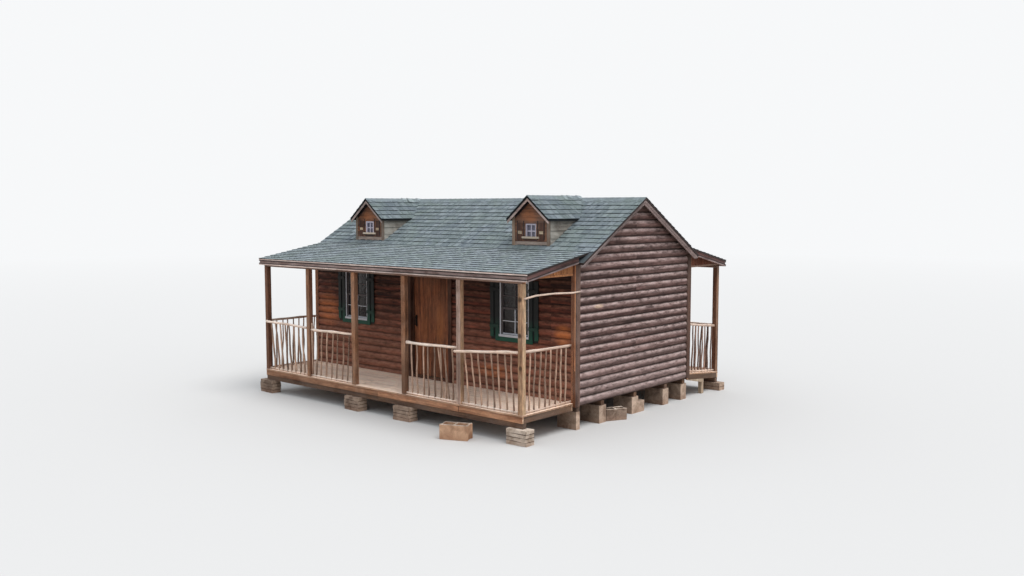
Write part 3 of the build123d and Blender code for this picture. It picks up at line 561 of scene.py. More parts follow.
@dataclass(frozen=True)
class Glass(Finish):
    """Window glass over a dark room, with a film of dust."""

    body: Colour

    def colour(self, graph: Graph, effects: Effects, place: Socket, surface: bpy.types.Node) -> None:
        """Fills the surface shader."""
        stain, dust = effects.stains(graph, place, 2.5)
        surface.inputs["Base Color"].default_value = (*self.body, 1.0)
        surface.inputs["Transmission Weight"].default_value = 0.35
        surface.inputs["Metallic"].default_value = 0.0
        surface.inputs["IOR"].default_value = 1.5
        graph.wire(surface.inputs["Roughness"], graph.remap(dust, 0.3, 0.7, 0.03, 0.12))
        graph.relief(surface, stain, 0.002)


class Palette:
    """Hands out each finish's material, building it the first time."""

    def __init__(self) -> None:
        """Builds the shared node groups."""
        self.effects = Effects()
        self.made: dict[str, bpy.types.Material] = {}

    def material(self, finish: Finish) -> bpy.types.Material:
        """Material of a finish."""
        if finish.name not in self.made:
            self.made[finish.name] = finish.material(self.effects)
        return self.made[finish.name]

    def dress(self, piece: bpy.types.Object, finish: Finish) -> None:
        """Gives a piece one finish on every slot.

        Args:
            piece: A mesh object.
            finish: The finish to wear.
        """
        if not piece.data.materials:
            piece.data.materials.append(self.material(finish))
        for index in range(len(piece.data.materials)):
            piece.data.materials[index] = self.material(finish)


# The cabin's own sizes, in metres, with y 0 on the face of the front wall
@dataclass(frozen=True)
class Cabin:
    """Main sizes of the body and its roof."""

    half_length: float = 3.42
    depth: float = 3.66
    plan_middle: float = 1.7795
    siding_bottom: float = 0.397
    exposure: float = 0.1393
    ridge: float = 3.856
    break_height: float = 2.953
    break_inset: float = 0.280
    gable_reach: float = 0.154
    porch_reach: float = 0.076
    skin: float = 0.030
    deck_half: float = 3.368
    deck_board: float = 0.028
    post: float = 0.092
    post_count: int = 6

    @property
    def slope(self) -> float:
        """Rise of the main roof over one metre."""
        return (self.ridge - self.break_height) / (self.depth / 2 - self.break_inset)

    def off(self, wall: Wall, distance: float) -> float:
        """Place across the cabin of what stands off a long wall by a distance."""
        return (0.0 if wall is Wall.FRONT else self.depth) + wall.value * distance

    def main_top(self, y: float) -> float:
        """Height of the main roof's top over a line across the cabin."""
        return self.break_height + self.slope * (min(y, self.depth - y) - self.break_inset)

    @property
    def post_line(self) -> float:
        """Distance of the end posts' middles from the middle of the cabin."""
        return self.deck_half - self.post / 2

    @property
    def bay(self) -> float:
        """Distance from one post's middle to the next."""
        return 2 * self.post_line / (self.post_count - 1)

    def post_x(self, index: int) -> float:
        """Middle of a post along the cabin."""
        return -self.post_line + index * self.bay


CABIN = Cabin()


@dataclass(frozen=True)
class Porch:
    """Sizes of one porch, by distances outwards from its wall."""

    wall: Wall
    depth: float
    deck_at_wall: float
    deck_at_edge: float
    reach: float
    eave: float

    def y(self, distance: float) -> float:
        """Place across the cabin."""
        return CABIN.off(self.wall, distance)

    def layer(self, proud: Span) -> Span:
        """Places across the cabin of a thin layer that stands off the wall's face."""
        return self.y(proud[0]), self.y(proud[1])

    @property
    def slope(self) -> float:
        """Rise of the porch roof over one metre."""
        return (CABIN.break_height - self.eave) / (self.reach + CABIN.break_inset)

    def top(self, distance: float) -> float:
        """Height of the porch roof's top."""
        return self.eave + self.slope * (self.reach - distance)

    def deck(self, distance: float) -> float:
        """Height of the deck."""
        return self.deck_at_wall + (self.deck_at_edge - self.deck_at_wall) * distance / self.depth


FRONT = Porch(Wall.FRONT, 1.287, 0.464, 0.464, 1.319, 2.670)
REAR = Porch(Wall.REAR, 1.184, 0.484, 0.366, 1.218, 2.626)


# Meshes
class Stock:
    """Collects solids for one piece, each with a tone of its own."""

    def __init__(self, name: str, seed: int = 1) -> None:
        """Starts an empty piece."""
        self.name = name
        self.mesh = bmesh.new()
        self.tone = self.mesh.verts.layers.float.new(TONE)
        self.dice = random.Random(seed)

    def solid(self, points: Sequence[Point], faces: Iterable[Sequence[int]], tone: float | None = None,
              smooth: bool = False, slots: Sequence[int] | None = None) -> None:
        """Adds one solid.

        Args:
            points: Its corners.
            faces: Corner numbers of each face.
            tone: Its tone from 0 to 1, or none for a chance one.
            smooth: Whether its faces shade smoothly.
            slots: Number of each face's finish, or none for the first one.
        """
        shade = self.dice.random() if tone is None else tone
        made = [self.mesh.verts.new((x, y - CABIN.plan_middle, z)) for x, y, z in points]
        for vert in made:
            vert[self.tone] = shade
        for number, corners in enumerate(faces):
            face = self.mesh.faces.new([made[index] for index in corners])
            face.smooth = smooth
            face.material_index = slots[number] if slots else 0

    def prism(self, low: Sequence[Point], high: Sequence[Point], tone: float | None = None) -> None:
        """Adds a solid between two outlines with the same number of corners."""
        count = len(low)
        faces: list[Sequence[int]] = [list(range(count))[::-1], list(range(count, 2 * count))]
        for side in range(count):
            after = (side + 1) % count
            faces.append([side, after, count + after, count + side])
        self.solid([*low, *high], faces, tone)

    def box(self, x: Span, y: Span, z: Span, tone: float | None = None) -> None:
        """Adds a rectangular board."""
        (x0, x1), (y0, y1), (z0, z1) = sorted(x), sorted(y), sorted(z)
        self.prism([(x0, y0, z0), (x1, y0, z0), (x1, y1, z0), (x0, y1, z0)],
                   [(x0, y0, z1), (x1, y0, z1), (x1, y1, z1), (x0, y1, z1)], tone)

    def profile_x(self, points: Sequence[tuple[float, float]], x: Span, tone: float | None = None) -> None:
        """Adds an outline of (y, z) pushed along X."""
        x0, x1 = sorted(x)
        self.prism([(x0, y, z) for y, z in points], [(x1, y, z) for y, z in points], tone)

    def profile_y(self, points: Sequence[tuple[float, float]], y: Span, tone: float | None = None) -> None:
        """Adds an outline of (x, z) pushed along Y."""
        y0, y1 = sorted(y)
        self.prism([(x, y0, z) for x, z in points], [(x, y1, z) for x, z in points], tone)

    def pole(self, path: Sequence[Point], radii: Sequence[float], sides: int = 9, tone: float | None = None,
             rough: float = 0.12) -> None:
        """Adds a round, slightly lumpy pole along a path.

        Args:
            path: Points on its axis.
            radii: Radius at each point.
            sides: Corners round it.
            tone: Its tone, or none for a chance one.
            rough: How much the radius varies, as a share.
        """
        points: list[Point] = []
        line = [Vector(point) for point in path]
        for index, point in enumerate(line):
            ahead = (line[min(index + 1, len(line) - 1)] - line[max(index - 1, 0)]).normalized()
            side = ahead.cross(Vector((0.31, 0.17, 0.94)) if abs(ahead.z) < 0.8 else Vector((0.9, 0.4, 0.1)))
            side.normalize()
            up = ahead.cross(side)
            for turn in range(sides):
                angle = 2 * math.pi * turn / sides
                offset = side * math.cos(angle) + up * math.sin(angle)
                lump = 1 + rough * noise.noise((point + offset * 0.06) * 14.0)
                points.append(tuple(point + offset * radii[index] * lump))
        last = len(line) - 1
        faces: list[Sequence[int]] = [list(range(sides))[::-1],
                                      [last * sides + turn for turn in range(sides)]]
        for ring in range(last):
            for turn in range(sides):
                after = (turn + 1) % sides
                faces.append([ring * sides + turn, ring * sides + after, (ring + 1) * sides + after,
                              (ring + 1) * sides + turn])
        self.solid(points, faces, tone, True)

    def tone_solids(self) -> None:
        """Gives each loose solid of the mesh a chance tone."""
        seen: set[bmesh.types.BMVert] = set()
        for vert in self.mesh.verts:
            if vert in seen:
                continue
            shade = self.dice.random()
            heap = [vert]
            seen.add(vert)
            while heap:
                here = heap.pop()
                here[self.tone] = shade
                fresh = [other for other in (edge.other_vert(here) for edge in here.link_edges)
                         if other not in seen]
                seen.update(fresh)
                heap += fresh

    def finish(self, palette: Palette, finish: Finish, body: str = "cabin", bevel: float = 0.0,
               replaces: Sequence[str] = (), others: Sequence[Finish] = ()) -> bpy.types.Object:
        """Turns the collected solids into a dressed piece.

        Args:
            palette: Where materials come from.
            finish: The piece's finish.
            body: The body that it rides on.
            bevel: Width of the worn edges.
            replaces: CAD nodes that the piece stands for.
            others: Finishes of the faces with a higher slot.

        Returns:
            The new object.
        """
        bmesh.ops.recalc_face_normals(self.mesh, faces=self.mesh.faces)
        if bevel:
            sharp = [edge for edge in self.mesh.edges if edge.calc_face_angle(0.0) > 0.6]
            bmesh.ops.bevel(self.mesh, geom=sharp, offset=bevel, segments=1, affect="EDGES",
                            clamp_overlap=True)
        data = bpy.data.meshes.new(self.name)
        self.mesh.to_mesh(data)
        self.mesh.free()
        made = bpy.data.objects.new(self.name, data)
        bpy.context.scene.collection.objects.link(made)
        palette.dress(made, finish)
        for other in others:
            data.materials.append(palette.material(other))
        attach(made, body)
        if replaces:
            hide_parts(*replaces)
        log.info("%s: %d faces", self.name, len(data.polygons))
        return made


@dataclass
class Workshop:
    """What every sub-assembly needs: the palette and the CAD nodes."""

    palette: Palette
    nodes: dict[str, bpy.types.Object]

    def keep(self, finish: Finish, *names: str) -> None:
        """Dresses CAD nodes that stay as they are."""
        for name in names:
            self.palette.dress(self.nodes[name], finish)
            log.info("%s: kept", name)

    def worn(self, node: str, finish: Finish, bevel: float, body: str = "cabin", seed: int = 3,
             pick: Callable[[Vector, Vector], Finish] | None = None) -> bpy.types.Object:
        """Stands a copy with worn edges in for a CAD node, each solid with its own tone.

        Args:
            node: The CAD node.
            finish: The finish to wear.
            bevel: Width of the worn edges.
            body: The body that it rides on.
            seed: Start of the chance tones.
            pick: Finish for a face by the way it faces and its middle, or none for one finish all over.

        Returns:
            The new object.
        """
        stock = Stock(node + "_worn", seed)
        mesh = stock.mesh
        mesh.from_mesh(self.nodes[node].data)
        bmesh.ops.remove_doubles(mesh, verts=mesh.verts, dist=0.00005)
        bmesh.ops.dissolve_limit(mesh, angle_limit=0.02, verts=mesh.verts, edges=mesh.edges)
        stock.tone_solids()
        made = stock.finish(self.palette, finish, body, bevel, [node])
        if pick:
            slots = {finish.name: 0}
            for face in made.data.polygons:
                wanted = pick(face.normal, face.center)
                if wanted.name not in slots:
                    slots[wanted.name] = len(made.data.materials)
                    made.data.materials.append(self.palette.material(wanted))
                face.material_index = slots[wanted.name]
        return made


# Finishes
SHADED_LOG = Wood(
    "shaded_log", "porch_log", tint(138, 73, 55), tint(52, 22, 20), tint(172, 124, 102), Grain.X,
    pitch=(2.9, WIDE, CABIN.exposure), swing=0.3, streak=1.0, knots=0.7, aged=0.25,
    # Painted highlights on the log crowns, painted shade under each log and in the grooves
    start=CABIN.siding_bottom, course=CABIN.exposure, groove_shade=0.6, crown_highlight=0.4, mottle=0.65,
    # Painted shade darkens the top of the wall under the porch roof
    underside_shade=0.2, fade=(1.9, 0.8), fade_share=0.6, painted_shade_span=(1.45, 2.5), painted_shade_depth=0.75,
    # The patch at 3.16 along, in the warm patch colour, is a painted pool of warm light
    patches=(Patch(-3.0, 1.6, 0.42, 0.4, 0.45), Patch(3.16, 1.58, 0.22, 0.2, 0.7),
             Patch(1.6, 0.8, 0.5, 0.14, 0.4)), patch=tint(222, 132, 72))
GABLE_LOG = Wood(
    "gable_log", "gable_log", tint(128, 102, 98), tint(72, 49, 47), tint(192, 173, 170), Grain.Y,
    pitch=(WIDE, WIDE, CABIN.exposure), swing=0.26, streak=1.0, knots=0.8, aged=0.3,
    # Painted highlights on the log crowns, painted shade under each log and in the grooves
    start=CABIN.siding_bottom, course=CABIN.exposure, groove_shade=0.95, crown_highlight=0.85, mottle=0.5,
    underside_shade=0.4, fade=(1.3, 0.4), fade_share=0.35,
    patches=(Patch(-1.13, 2.03, 0.16, 0.045, 0.9), Patch(-0.1, 1.70, 0.45, 0.07, 0.7, dark=True),
             Patch(0.1, 2.99, 0.22, 0.05, 0.6, dark=True)), patch=tint(226, 196, 168))
CORNER_BOARD = Wood(
    "corner_board", "corner_timber", tint(172, 116, 84), tint(108, 64, 44), tint(150, 122, 106), Grain.Z,
    mottle=0.4)
CORNER_DARK = Wood(
    "corner_dark", "corner_timber", tint(96, 70, 60), tint(54, 38, 33), tint(118, 100, 92), Grain.Z,
    aged=0.35, mottle=0.4)
CORNER_SIDE = Wood(
    "corner_side", "corner_timber", tint(120, 94, 84), tint(76, 54, 46), tint(140, 120, 112), Grain.Z,
    aged=0.5, mottle=0.4)
POST = Wood(
    "post_timber", "porch_timber", tint(208, 170, 136), tint(122, 84, 58), tint(184, 160, 138), Grain.Z,
    pitch=(CABIN.bay, WIDE, WIDE), swing=0.2, streak=1.0, knots=1.0, aged=0.35, mottle=0.6,
    patches=(Patch(3.32, 2.27, 0.05, 0.06, 0.9, dark=True), Patch(3.31, 1.71, 0.05, 0.05, 0.9, dark=True),
             Patch(3.33, 1.2, 0.04, 0.05, 0.9, dark=True), Patch(1.993, 0.95, 0.3, 0.42, 0.5, dark=True)))
POST_BROWN = replace(
    POST, name="post_brown", pale=tint(170, 124, 94), deep=tint(98, 64, 45), grey=tint(164, 140, 122),
    patches=(Patch(0.664, 0.75, 0.3, 0.4, 0.5, dark=True),))
POST_FACE = replace(
    POST, name="post_face", pale=tint(206, 178, 162), deep=tint(134, 100, 84), grey=tint(198, 180, 172),
    aged=0.4, patches=(Patch(1.993, 0.95, 0.3, 0.42, 0.55, dark=True),))
POST_PALE = replace(
    POST, name="post_pale", pale=tint(226, 196, 160), deep=tint(146, 106, 76), grey=tint(206, 186, 162),
    patches=())
POST_SHADE = replace(
    POST, name="post_shade", pale=tint(146, 112, 90), deep=tint(88, 62, 48), grey=tint(140, 120, 106),
    mottle=0.5, patches=())
POST_DARK = replace(
    POST, name="post_dark", pale=tint(134, 92, 70), deep=tint(78, 48, 36), grey=tint(128, 106, 92),
    aged=0.25, mottle=0.45, patches=())
HEADER = Wood(
    "header_timber", "porch_timber", tint(150, 122, 108), tint(96, 68, 56), tint(150, 140, 134), Grain.X,
    mottle=0.35)
RAKE = Wood(
    "rake_board", "rake_timber", tint(192, 178, 176), tint(126, 106, 102), tint(192, 186, 190), Grain.Y,
    aged=0.5, mottle=0.35)
PORCH_RAKE = Wood(
    "porch_rake", "rake_timber", tint(112, 80, 76), tint(66, 42, 42), tint(140, 124, 122), Grain.Y,
    aged=0.3, mottle=0.35)
PORCH_EDGE = Wood(
    "porch_edge", "rake_timber", tint(150, 132, 130), tint(98, 80, 80), tint(166, 154, 156), Grain.Y,
    aged=0.4, mottle=0.35)
RAKE_LOW = Wood(
    "rake_low", "rake_timber", tint(156, 138, 136), tint(100, 82, 80), tint(166, 156, 156), Grain.Y,
    aged=0.4, mottle=0.4)
PALE_EDGE = Wood(
    "pale_edge", "rake_timber", tint(222, 206, 198), tint(166, 142, 134), tint(216, 204, 200), Grain.X,
    aged=0.5, mottle=0.4)
# Painted highlight along the corner boards' outer edges
CORNER_HIGHLIGHT = Wood(
    "corner_edge_highlight", "corner_timber", tint(226, 168, 126), tint(160, 100, 66), tint(206, 164, 136), Grain.Z,
    mottle=0.45)
FASCIA = Wood(
    "fascia_board", "rake_timber", tint(178, 154, 148), tint(104, 78, 72), tint(200, 184, 182), Grain.X,
    aged=0.5, mottle=0.35)
RAFTER = Wood(
    "rafter_timber", "porch_timber", tint(150, 112, 84), tint(104, 70, 50), tint(140, 122, 110), Grain.Y)
DECK = Wood(
    "deck_board", "deck_timber", tint(255, 234, 214), tint(240, 206, 182), tint(255, 234, 218), Grain.X,
    swing=0.2, streak=0.5, aged=0.6, mottle=0.25)
DECK_EDGE = Wood(
    "deck_edge", "deck_timber", tint(208, 168, 138), tint(126, 90, 68), tint(196, 170, 150), Grain.X,
    pitch=(0.5, WIDE, WIDE), swing=0.15, mottle=0.4)
RIM = Wood(
    "rim_board", "rim_timber", tint(204, 150, 114), tint(120, 76, 54), tint(190, 154, 130), Grain.X,
    pitch=(3.97, WIDE, WIDE), aged=0.3, mottle=0.45)
SIDE_RIM = Wood(
    "side_rim", "rim_timber", tint(232, 198, 168), tint(150, 114, 90), tint(216, 194, 174), Grain.Y,
    aged=0.4, mottle=0.35)
SKID = Wood("skid_timber", "skid_timber", tint(120, 92, 72), tint(70, 50, 40), tint(120, 106, 98), Grain.X)
PALE_LEG = Wood(
    "pale_leg", "skid_timber", tint(196, 178, 156), tint(132, 112, 94), tint(182, 170, 156), Grain.Z)
JOIST = Wood(
    "joist_timber", "skid_timber", tint(120, 92, 72), tint(74, 54, 42), tint(120, 108, 100), Grain.Y)
FLOOR = Wood(
    "floor_sheet", "deck_timber", tint(150, 118, 90), tint(110, 80, 58), tint(140, 120, 104), Grain.X,
    pitch=(2.44, 1.22, WIDE))
STICK = Wood(
    "peeled_stick", "peeled_stick", tint(212, 180, 158), tint(104, 70, 52), tint(184, 164, 150), Grain.Z,
    swing=0.45, aged=0.3, mottle=0.6)
STICK_SHADE = Wood(
    "shaded_stick", "peeled_stick", tint(168, 138, 124), tint(74, 50, 42), tint(152, 132, 124), Grain.Z,
    swing=0.5, aged=0.3, mottle=0.6)
RAIL = Wood(
    "peeled_rail", "peeled_stick", tint(255, 242, 230), tint(214, 180, 158), tint(240, 226, 216), Grain.X,
    swing=0.15, aged=0.4, mottle=0.35)
SIDE_RAIL = Wood(
    "peeled_side_rail", "peeled_stick", tint(238, 220, 206), tint(172, 136, 114), tint(214, 200, 190),
    Grain.Y, swing=0.15, aged=0.4, mottle=0.35)
DOOR = Wood(
    "door_plank", "door_plank", tint(168, 104, 70), tint(70, 36, 25), tint(150, 112, 88), Grain.Z,
    pitch=(0.14, WIDE, WIDE), swing=0.25, streak=1.0, knots=0.6, aged=0.2, mottle=0.55,
    patch=tint(184, 116, 70),
    patches=(Patch(0.2, 1.5, 0.13, 0.5, 0.5), Patch(-0.2, 1.4, 0.12, 0.4, 0.25),
             # The two dark patches are painted shade: across the top of the door and down its right edge
             Patch(0.0, 2.6, 0.9, 0.45, 0.65, dark=True), Patch(0.48, 1.5, 0.07, 1.1, 0.55, dark=True)))
# Door casing, darkened all over as painted shade
CASING = Wood(
    "door_casing", "corner_timber", tint(108, 68, 52), tint(56, 34, 27), tint(112, 88, 76), Grain.Z,
    mottle=0.4)
INFILL = Wood(
    "infill_board", "end_board", tint(222, 158, 108), tint(138, 82, 50), tint(190, 146, 112), Grain.Z,
    swing=0.4, aged=0.3, mottle=0.45)
INFILL_SHADE = Wood(
    "infill_shade", "end_board", tint(126, 74, 54), tint(70, 36, 28), tint(120, 92, 78), Grain.Z, swing=0.3,
    aged=0.3, mottle=0.45)
DORMER = Wood(
    "dormer_board", "dormer_board", tint(150, 96, 64), tint(56, 32, 25), tint(140, 118, 106), Grain.X,
    swing=0.4, aged=0.4, mottle=0.7,
    patches=(Patch(-2.17, 3.5, 0.2, 0.13, 0.6), Patch(2.09, 3.53, 0.2, 0.13, 0.6)), patch=tint(166, 104, 66))
DORMER_LOW = Wood(
    "dormer_low_board", "dormer_board", tint(176, 158, 146), tint(118, 96, 84), tint(170, 160, 152),
    Grain.X, swing=0.2, mottle=0.4)
DORMER_SHUTTER = Wood(
    "dormer_shutter", "rake_timber", tint(104, 66, 50), tint(56, 34, 28), tint(110, 90, 80), Grain.Z,
    aged=0.3, mottle=0.4)
CHEEK = Wood(
    "dormer_cheek", "dormer_board", tint(150, 144, 136), tint(96, 88, 80), tint(178, 176, 168), Grain.Y,
    swing=0.25, aged=0.6, mottle=0.4)
DORMER_TRIM = Wood(
    "dormer_trim", "rake_timber", tint(140, 118, 98), tint(82, 62, 50), tint(156, 146, 138), Grain.Z,
    mottle=0.4)
DORMER_RAKE = Wood(
    "dormer_rake", "rake_timber", tint(188, 166, 158), tint(104, 80, 74), tint(196, 184, 180), Grain.X,
    mottle=0.35)
WHITE = Paint("white_paint", "white_frame", tint(200, 204, 212), tint(140, 130, 124), wear=0.15)
# Grey sash colour: painted shade on the upper sashes, the stiles, the top rails and the frames' inner sides
SASH_SHADE = Paint("sash_shade", "white_frame", tint(84, 78, 80), tint(70, 58, 52), wear=0.3)
LILAC = Paint("faded_paint", "white_frame", tint(196, 190, 204), tint(130, 116, 112), wear=0.25)
CREAM = Paint("cream_paint", "white_frame", tint(206, 190, 170), tint(140, 116, 98), wear=0.35)
BATTEN = Wood(
    "batten_board", "rake_timber", tint(240, 220, 186), tint(170, 136, 106), tint(226, 208, 180), Grain.X,
    pitch=(0.6, WIDE, 0.15), swing=0.45, mottle=0.5)
GREEN_SLOT = Paint("green_slot", "green_board", tint(8, 14, 14), tint(20, 22, 20), wear=0.1)
# Shutter and apron paint: near-black at the top as painted shade under the porch roof, lighter green low down
# as painted light
GREEN = Paint(
    "green_paint", "green_board", tint(7, 15, 17), tint(44, 52, 46), wear=0.2, low=tint(20, 80, 62),
    levels=(1.36, 1.8))
GLASS = Glass("window_glass", "clear_glass", tint(26, 24, 32))
# Dormer glass with a lighter body colour, a painted reflection of the sky
GLASS_SKY_REFLECTION = Glass("glass_sky_reflection", "clear_glass", tint(118, 116, 134))
IRON = Iron("black_iron", "black_iron", tint(30, 28, 28), tint(70, 44, 34))
# Dark metal of the drip edges and of the rim joints, also dark strips of painted shadow along the roof edges,
# under the dormers' eaves and rakes and round their windows
DARK_STRIP_AND_SHADOW = Iron("dark_strip_and_shadow", "rake_timber", tint(40, 30, 30), tint(60, 44, 42), metallic=0.2)
SHINGLE = Shingle("roof_shingle", "shingle", tint(150, 160, 166), tint(96, 106, 113), tint(112, 126, 117))
# Darker shingle colour: the printed shadow band at the top of each course, which also stands in as painted
# shade under the next course's butt and on the tabs' sides
SHINGLE_SHADE_BAND = Shingle("shingle_shade_band", "shingle", tint(96, 104, 110), tint(62, 69, 75), tint(74, 84, 78))
# Near-black shingle colour: the dark asphalt butts, which also paint the shadow line under each course, and
# the dormers' roof skins, whose eaves paint the shadow under them
SHINGLE_EDGE_SHADE = Shingle("shingle_edge_shade", "shingle", tint(34, 37, 40), tint(24, 27, 30), tint(28, 32, 31))
CONCRETE = Concrete("cast_concrete", "concrete", tint(172, 152, 136), tint(116, 98, 86), tint(138, 98, 78))
CONCRETE_JOINT = Concrete(
    "concrete_joint", "concrete", tint(84, 66, 56), tint(52, 40, 34), tint(96, 66, 52))
# Pale concrete for the piers' right sides, as painted light
CONCRETE_LIT_SIDE = Concrete(
    "lit_side_concrete", "concrete", tint(200, 178, 160), tint(146, 124, 108), tint(150, 110, 88))
# Pale concrete for the stack under the right front corner and for the loose blocks' tops, whose paleness
# there is painted light
CONCRETE_PALE = Concrete(
    "pale_concrete", "concrete", tint(226, 212, 198), tint(164, 146, 130), tint(150, 108, 84))
CONCRETE_WARM = Concrete(
    "warm_concrete", "concrete", tint(236, 196, 164), tint(186, 146, 118), tint(150, 98, 72))


# Sub-assemblies
class Layer(IntEnum):
    """Finishes of a shingle's faces, by slot."""

    FACE = 0
    BUTT = 1
    SHADOW_BAND = 2


def cap_profile(reach: float, drop: float, thickness: float = 0.006) -> list[tuple[float, float]]:
    """Cross-section of a bent ridge cap, as distances across and above the ridge."""
    top = [(-reach, -drop), (0.0, 0.0), (reach, -drop)]
    return top + [(across, rise - thickness) for across, rise in reversed(top)]


@dataclass
class Roof:
    """Shingle courses on every slope and the cap along the ridge."""

    exposure: float = 0.134
    lap: float = 0.020
    strip: float = 0.33
    tooth: float = 0.095
    gap: float = 0.045
    least: float = 0.008
    stagger: float = 0.003
    butt: float = 0.006
    feather: float = 0.001
    seat: float = 0.0005
    shade_band: float = 0.015
    banded_share: float = 0.6
    strip_tones: Span = (0.1, 0.4)
    tooth_tones: Span = (0.35, 0.8)
    overhang: float = 0.006
    edge_reach: float = 0.004
    cap_reach: float = 0.15
    cap_exposure: float = 0.145
    cap_lap: float = 0.03
    cap_lifts: Span = (0.007, 0.011)
    cap_tones: Span = (0.1, 0.45)
    # Painted light and shade by slope, as the light falls on each: the porch slopes are painted a little
    # lighter, the main and dormer slopes darker
    porch_painted_shade: float = -0.1
    main_painted_shade: float = 0.3
    dormer_painted_shade: float = 0.42

    def cover(self, stock: Stock, at: Slope, length: float, span: Callable[[float], Span],
              overhang: float = 0.0, shade: float = 0.0) -> None:
        """Lays courses on a slope, each a strip under a row of uneven teeth.

        Args:
            stock: The piece that takes the shingles.
            at: Point on the slope, from the place along the eave, up the slope and above the surface.
            length: Length up the slope.
            span: First and last place along the eave at a distance up the slope.
            overhang: How far the first course hangs over the eave.
            shade: How much darker the slope's tones are painted as shade; a negative value paints them
                lighter as light.
        """
        dice = stock.dice
        count = round(length / self.exposure)
        exposure = length / count
        for course in range(count):
            low = course * exposure
            seen = low + exposure
            high = min(seen + self.lap, length)
            bottom, top = span(low), span(high)
            foot = low if course else low - overhang
            start = bottom[0]
            while start < bottom[1]:
                end = min(start + self.strip * dice.uniform(0.5, 1.5), bottom[1])
                self.patch(stock, at, (start, end), (foot + self.stagger, seen, high), bottom, top, self.butt,
                           dice.uniform(*self.strip_tones) - shade)
                start = end
            start = bottom[0] - self.tooth * dice.random()
            while start < bottom[1]:
                end = start + self.tooth * dice.uniform(0.5, 1.8)
                self.patch(stock, at, (max(start, bottom[0]), min(end, bottom[1])),
                           (foot + self.stagger * dice.random(), seen, high), bottom, top, 2 * self.butt,
                           dice.uniform(*self.tooth_tones) - shade)
                start = end + self.gap * (0.1 + 1.6 * dice.random() ** 2)

    def patch(self, stock: Stock, at: Slope, along: Span, up: Point, bottom: Span, top: Span, butt: float,
              tone: float) -> None:
        """Adds one wedge of shingle with a darker band along the top of its visible part, a printed shadow
        band that also paints the shade under the next course's butt.

        Args:
            stock: The piece that takes it.
            at: Point on the slope.
            along: Its span along the eave.
            up: Its foot, the end of its visible part and its top, up the slope.
            bottom: Where the course starts and ends at its foot.
            top: Where the course starts and ends at its top.
            butt: Its thickness at the foot.
            tone: Its tone.
        """
        a, b = along
        if b - a < self.least:
            return
        high_a = top[0] if a == bottom[0] else min(max(a, top[0]), top[1])
        high_b = top[1] if b == bottom[1] else max(min(b, top[1]), top[0])
        low, seen, high = up
        share = (seen - self.shade_band * stock.dice.uniform(0.6, 1.4) - low) / (high - low)
        split = low + share * (high - low)
        lift = butt + share * (self.feather - butt)
        split_a, split_b = a + share * (high_a - a), b + share * (high_b - b)
        foot = Layer.BUTT if butt > self.butt else Layer.SHADOW_BAND
        band = Layer.SHADOW_BAND if stock.dice.random() < self.banded_share else Layer.FACE
        stock.solid([at(a, low, self.seat), at(b, low, self.seat), at(a, low, butt), at(b, low, butt),
                     at(split_a, split, lift), at(split_b, split, lift),
                     at(high_a, high, self.feather), at(high_b, high, self.feather)],
                    [(0, 1, 3, 2), (2, 3, 5, 4), (4, 5, 7, 6), (0, 2, 4, 6), (1, 7, 5, 3)], tone,
                    slots=(foot, Layer.FACE, band, Layer.SHADOW_BAND, Layer.SHADOW_BAND))

    def slope(self, stock: Stock, low: Span, high: Span, half: float, overhang: float, shade: float) -> None:
        """Covers a slope that runs along the cabin.

        Args:
            stock: The piece that takes the shingles.
            low: Its eave, as (y, z).
            high: Its top, as (y, z).
            half: Half its length along the cabin.
            overhang: How far the first course hangs over.
            shade: How much darker its tones are painted as shade; a negative value paints them lighter as
                light.
        """
        length = math.hypot(high[0] - low[0], high[1] - low[1])
        up = ((high[0] - low[0]) / length, (high[1] - low[1]) / length)
        out = (-up[1], up[0]) if up[0] > 0 else (up[1], -up[0])

        def at(x: float, s: float, lift: float) -> Point:
            """Point on the slope."""
            return x, low[0] + up[0] * s + out[0] * lift, low[1] + up[1] * s + out[1] * lift
        self.cover(stock, at, length, lambda s: (-half, half), overhang, shade)

    def build(self, shop: Workshop) -> None:
        """Builds the shingles of both porches and both main slopes, the ridge cap and the skins."""
        for porch, name in ((FRONT, "front"), (REAR, "rear")):
            stock = Stock(f"{name}_shingles", 5 + porch.wall.value)
            top = (porch.y(-CABIN.break_inset), CABIN.break_height)
            self.slope(stock, (porch.y(porch.reach), porch.eave), top,
                       CABIN.half_length + CABIN.porch_reach + self.edge_reach, self.overhang,
                       self.porch_painted_shade)
            self.slope(stock, top, (CABIN.depth / 2, CABIN.ridge),
                       CABIN.half_length + CABIN.gable_reach + self.edge_reach, 0.0, self.main_painted_shade)
            stock.finish(shop.palette, SHINGLE, others=[SHINGLE_EDGE_SHADE, SHINGLE_SHADE_BAND])
        self.caps(shop)
        # The main roofs' skins take the darker band colour on top, and their sides are a dark line of painted
        # shadow between the shingles and the rakes
        for node in ("main_roof_front", "main_roof_rear"):
            shop.worn(node, SHINGLE_SHADE_BAND, 0.0,
                      pick=lambda normal, middle: SHINGLE_SHADE_BAND if normal.z > UPWARD else DARK_STRIP_AND_SHADOW)
        for node in ("front_porch_roof", "rear_porch_roof"):
            shop.worn(node, SHINGLE_EDGE_SHADE, 0.0, pick=self.skin_finish)
        # The dormers' roof skins are near-black, a painted shadow along their eaves
        shop.worn("dormer_roofs", SHINGLE_EDGE_SHADE, 0.0)

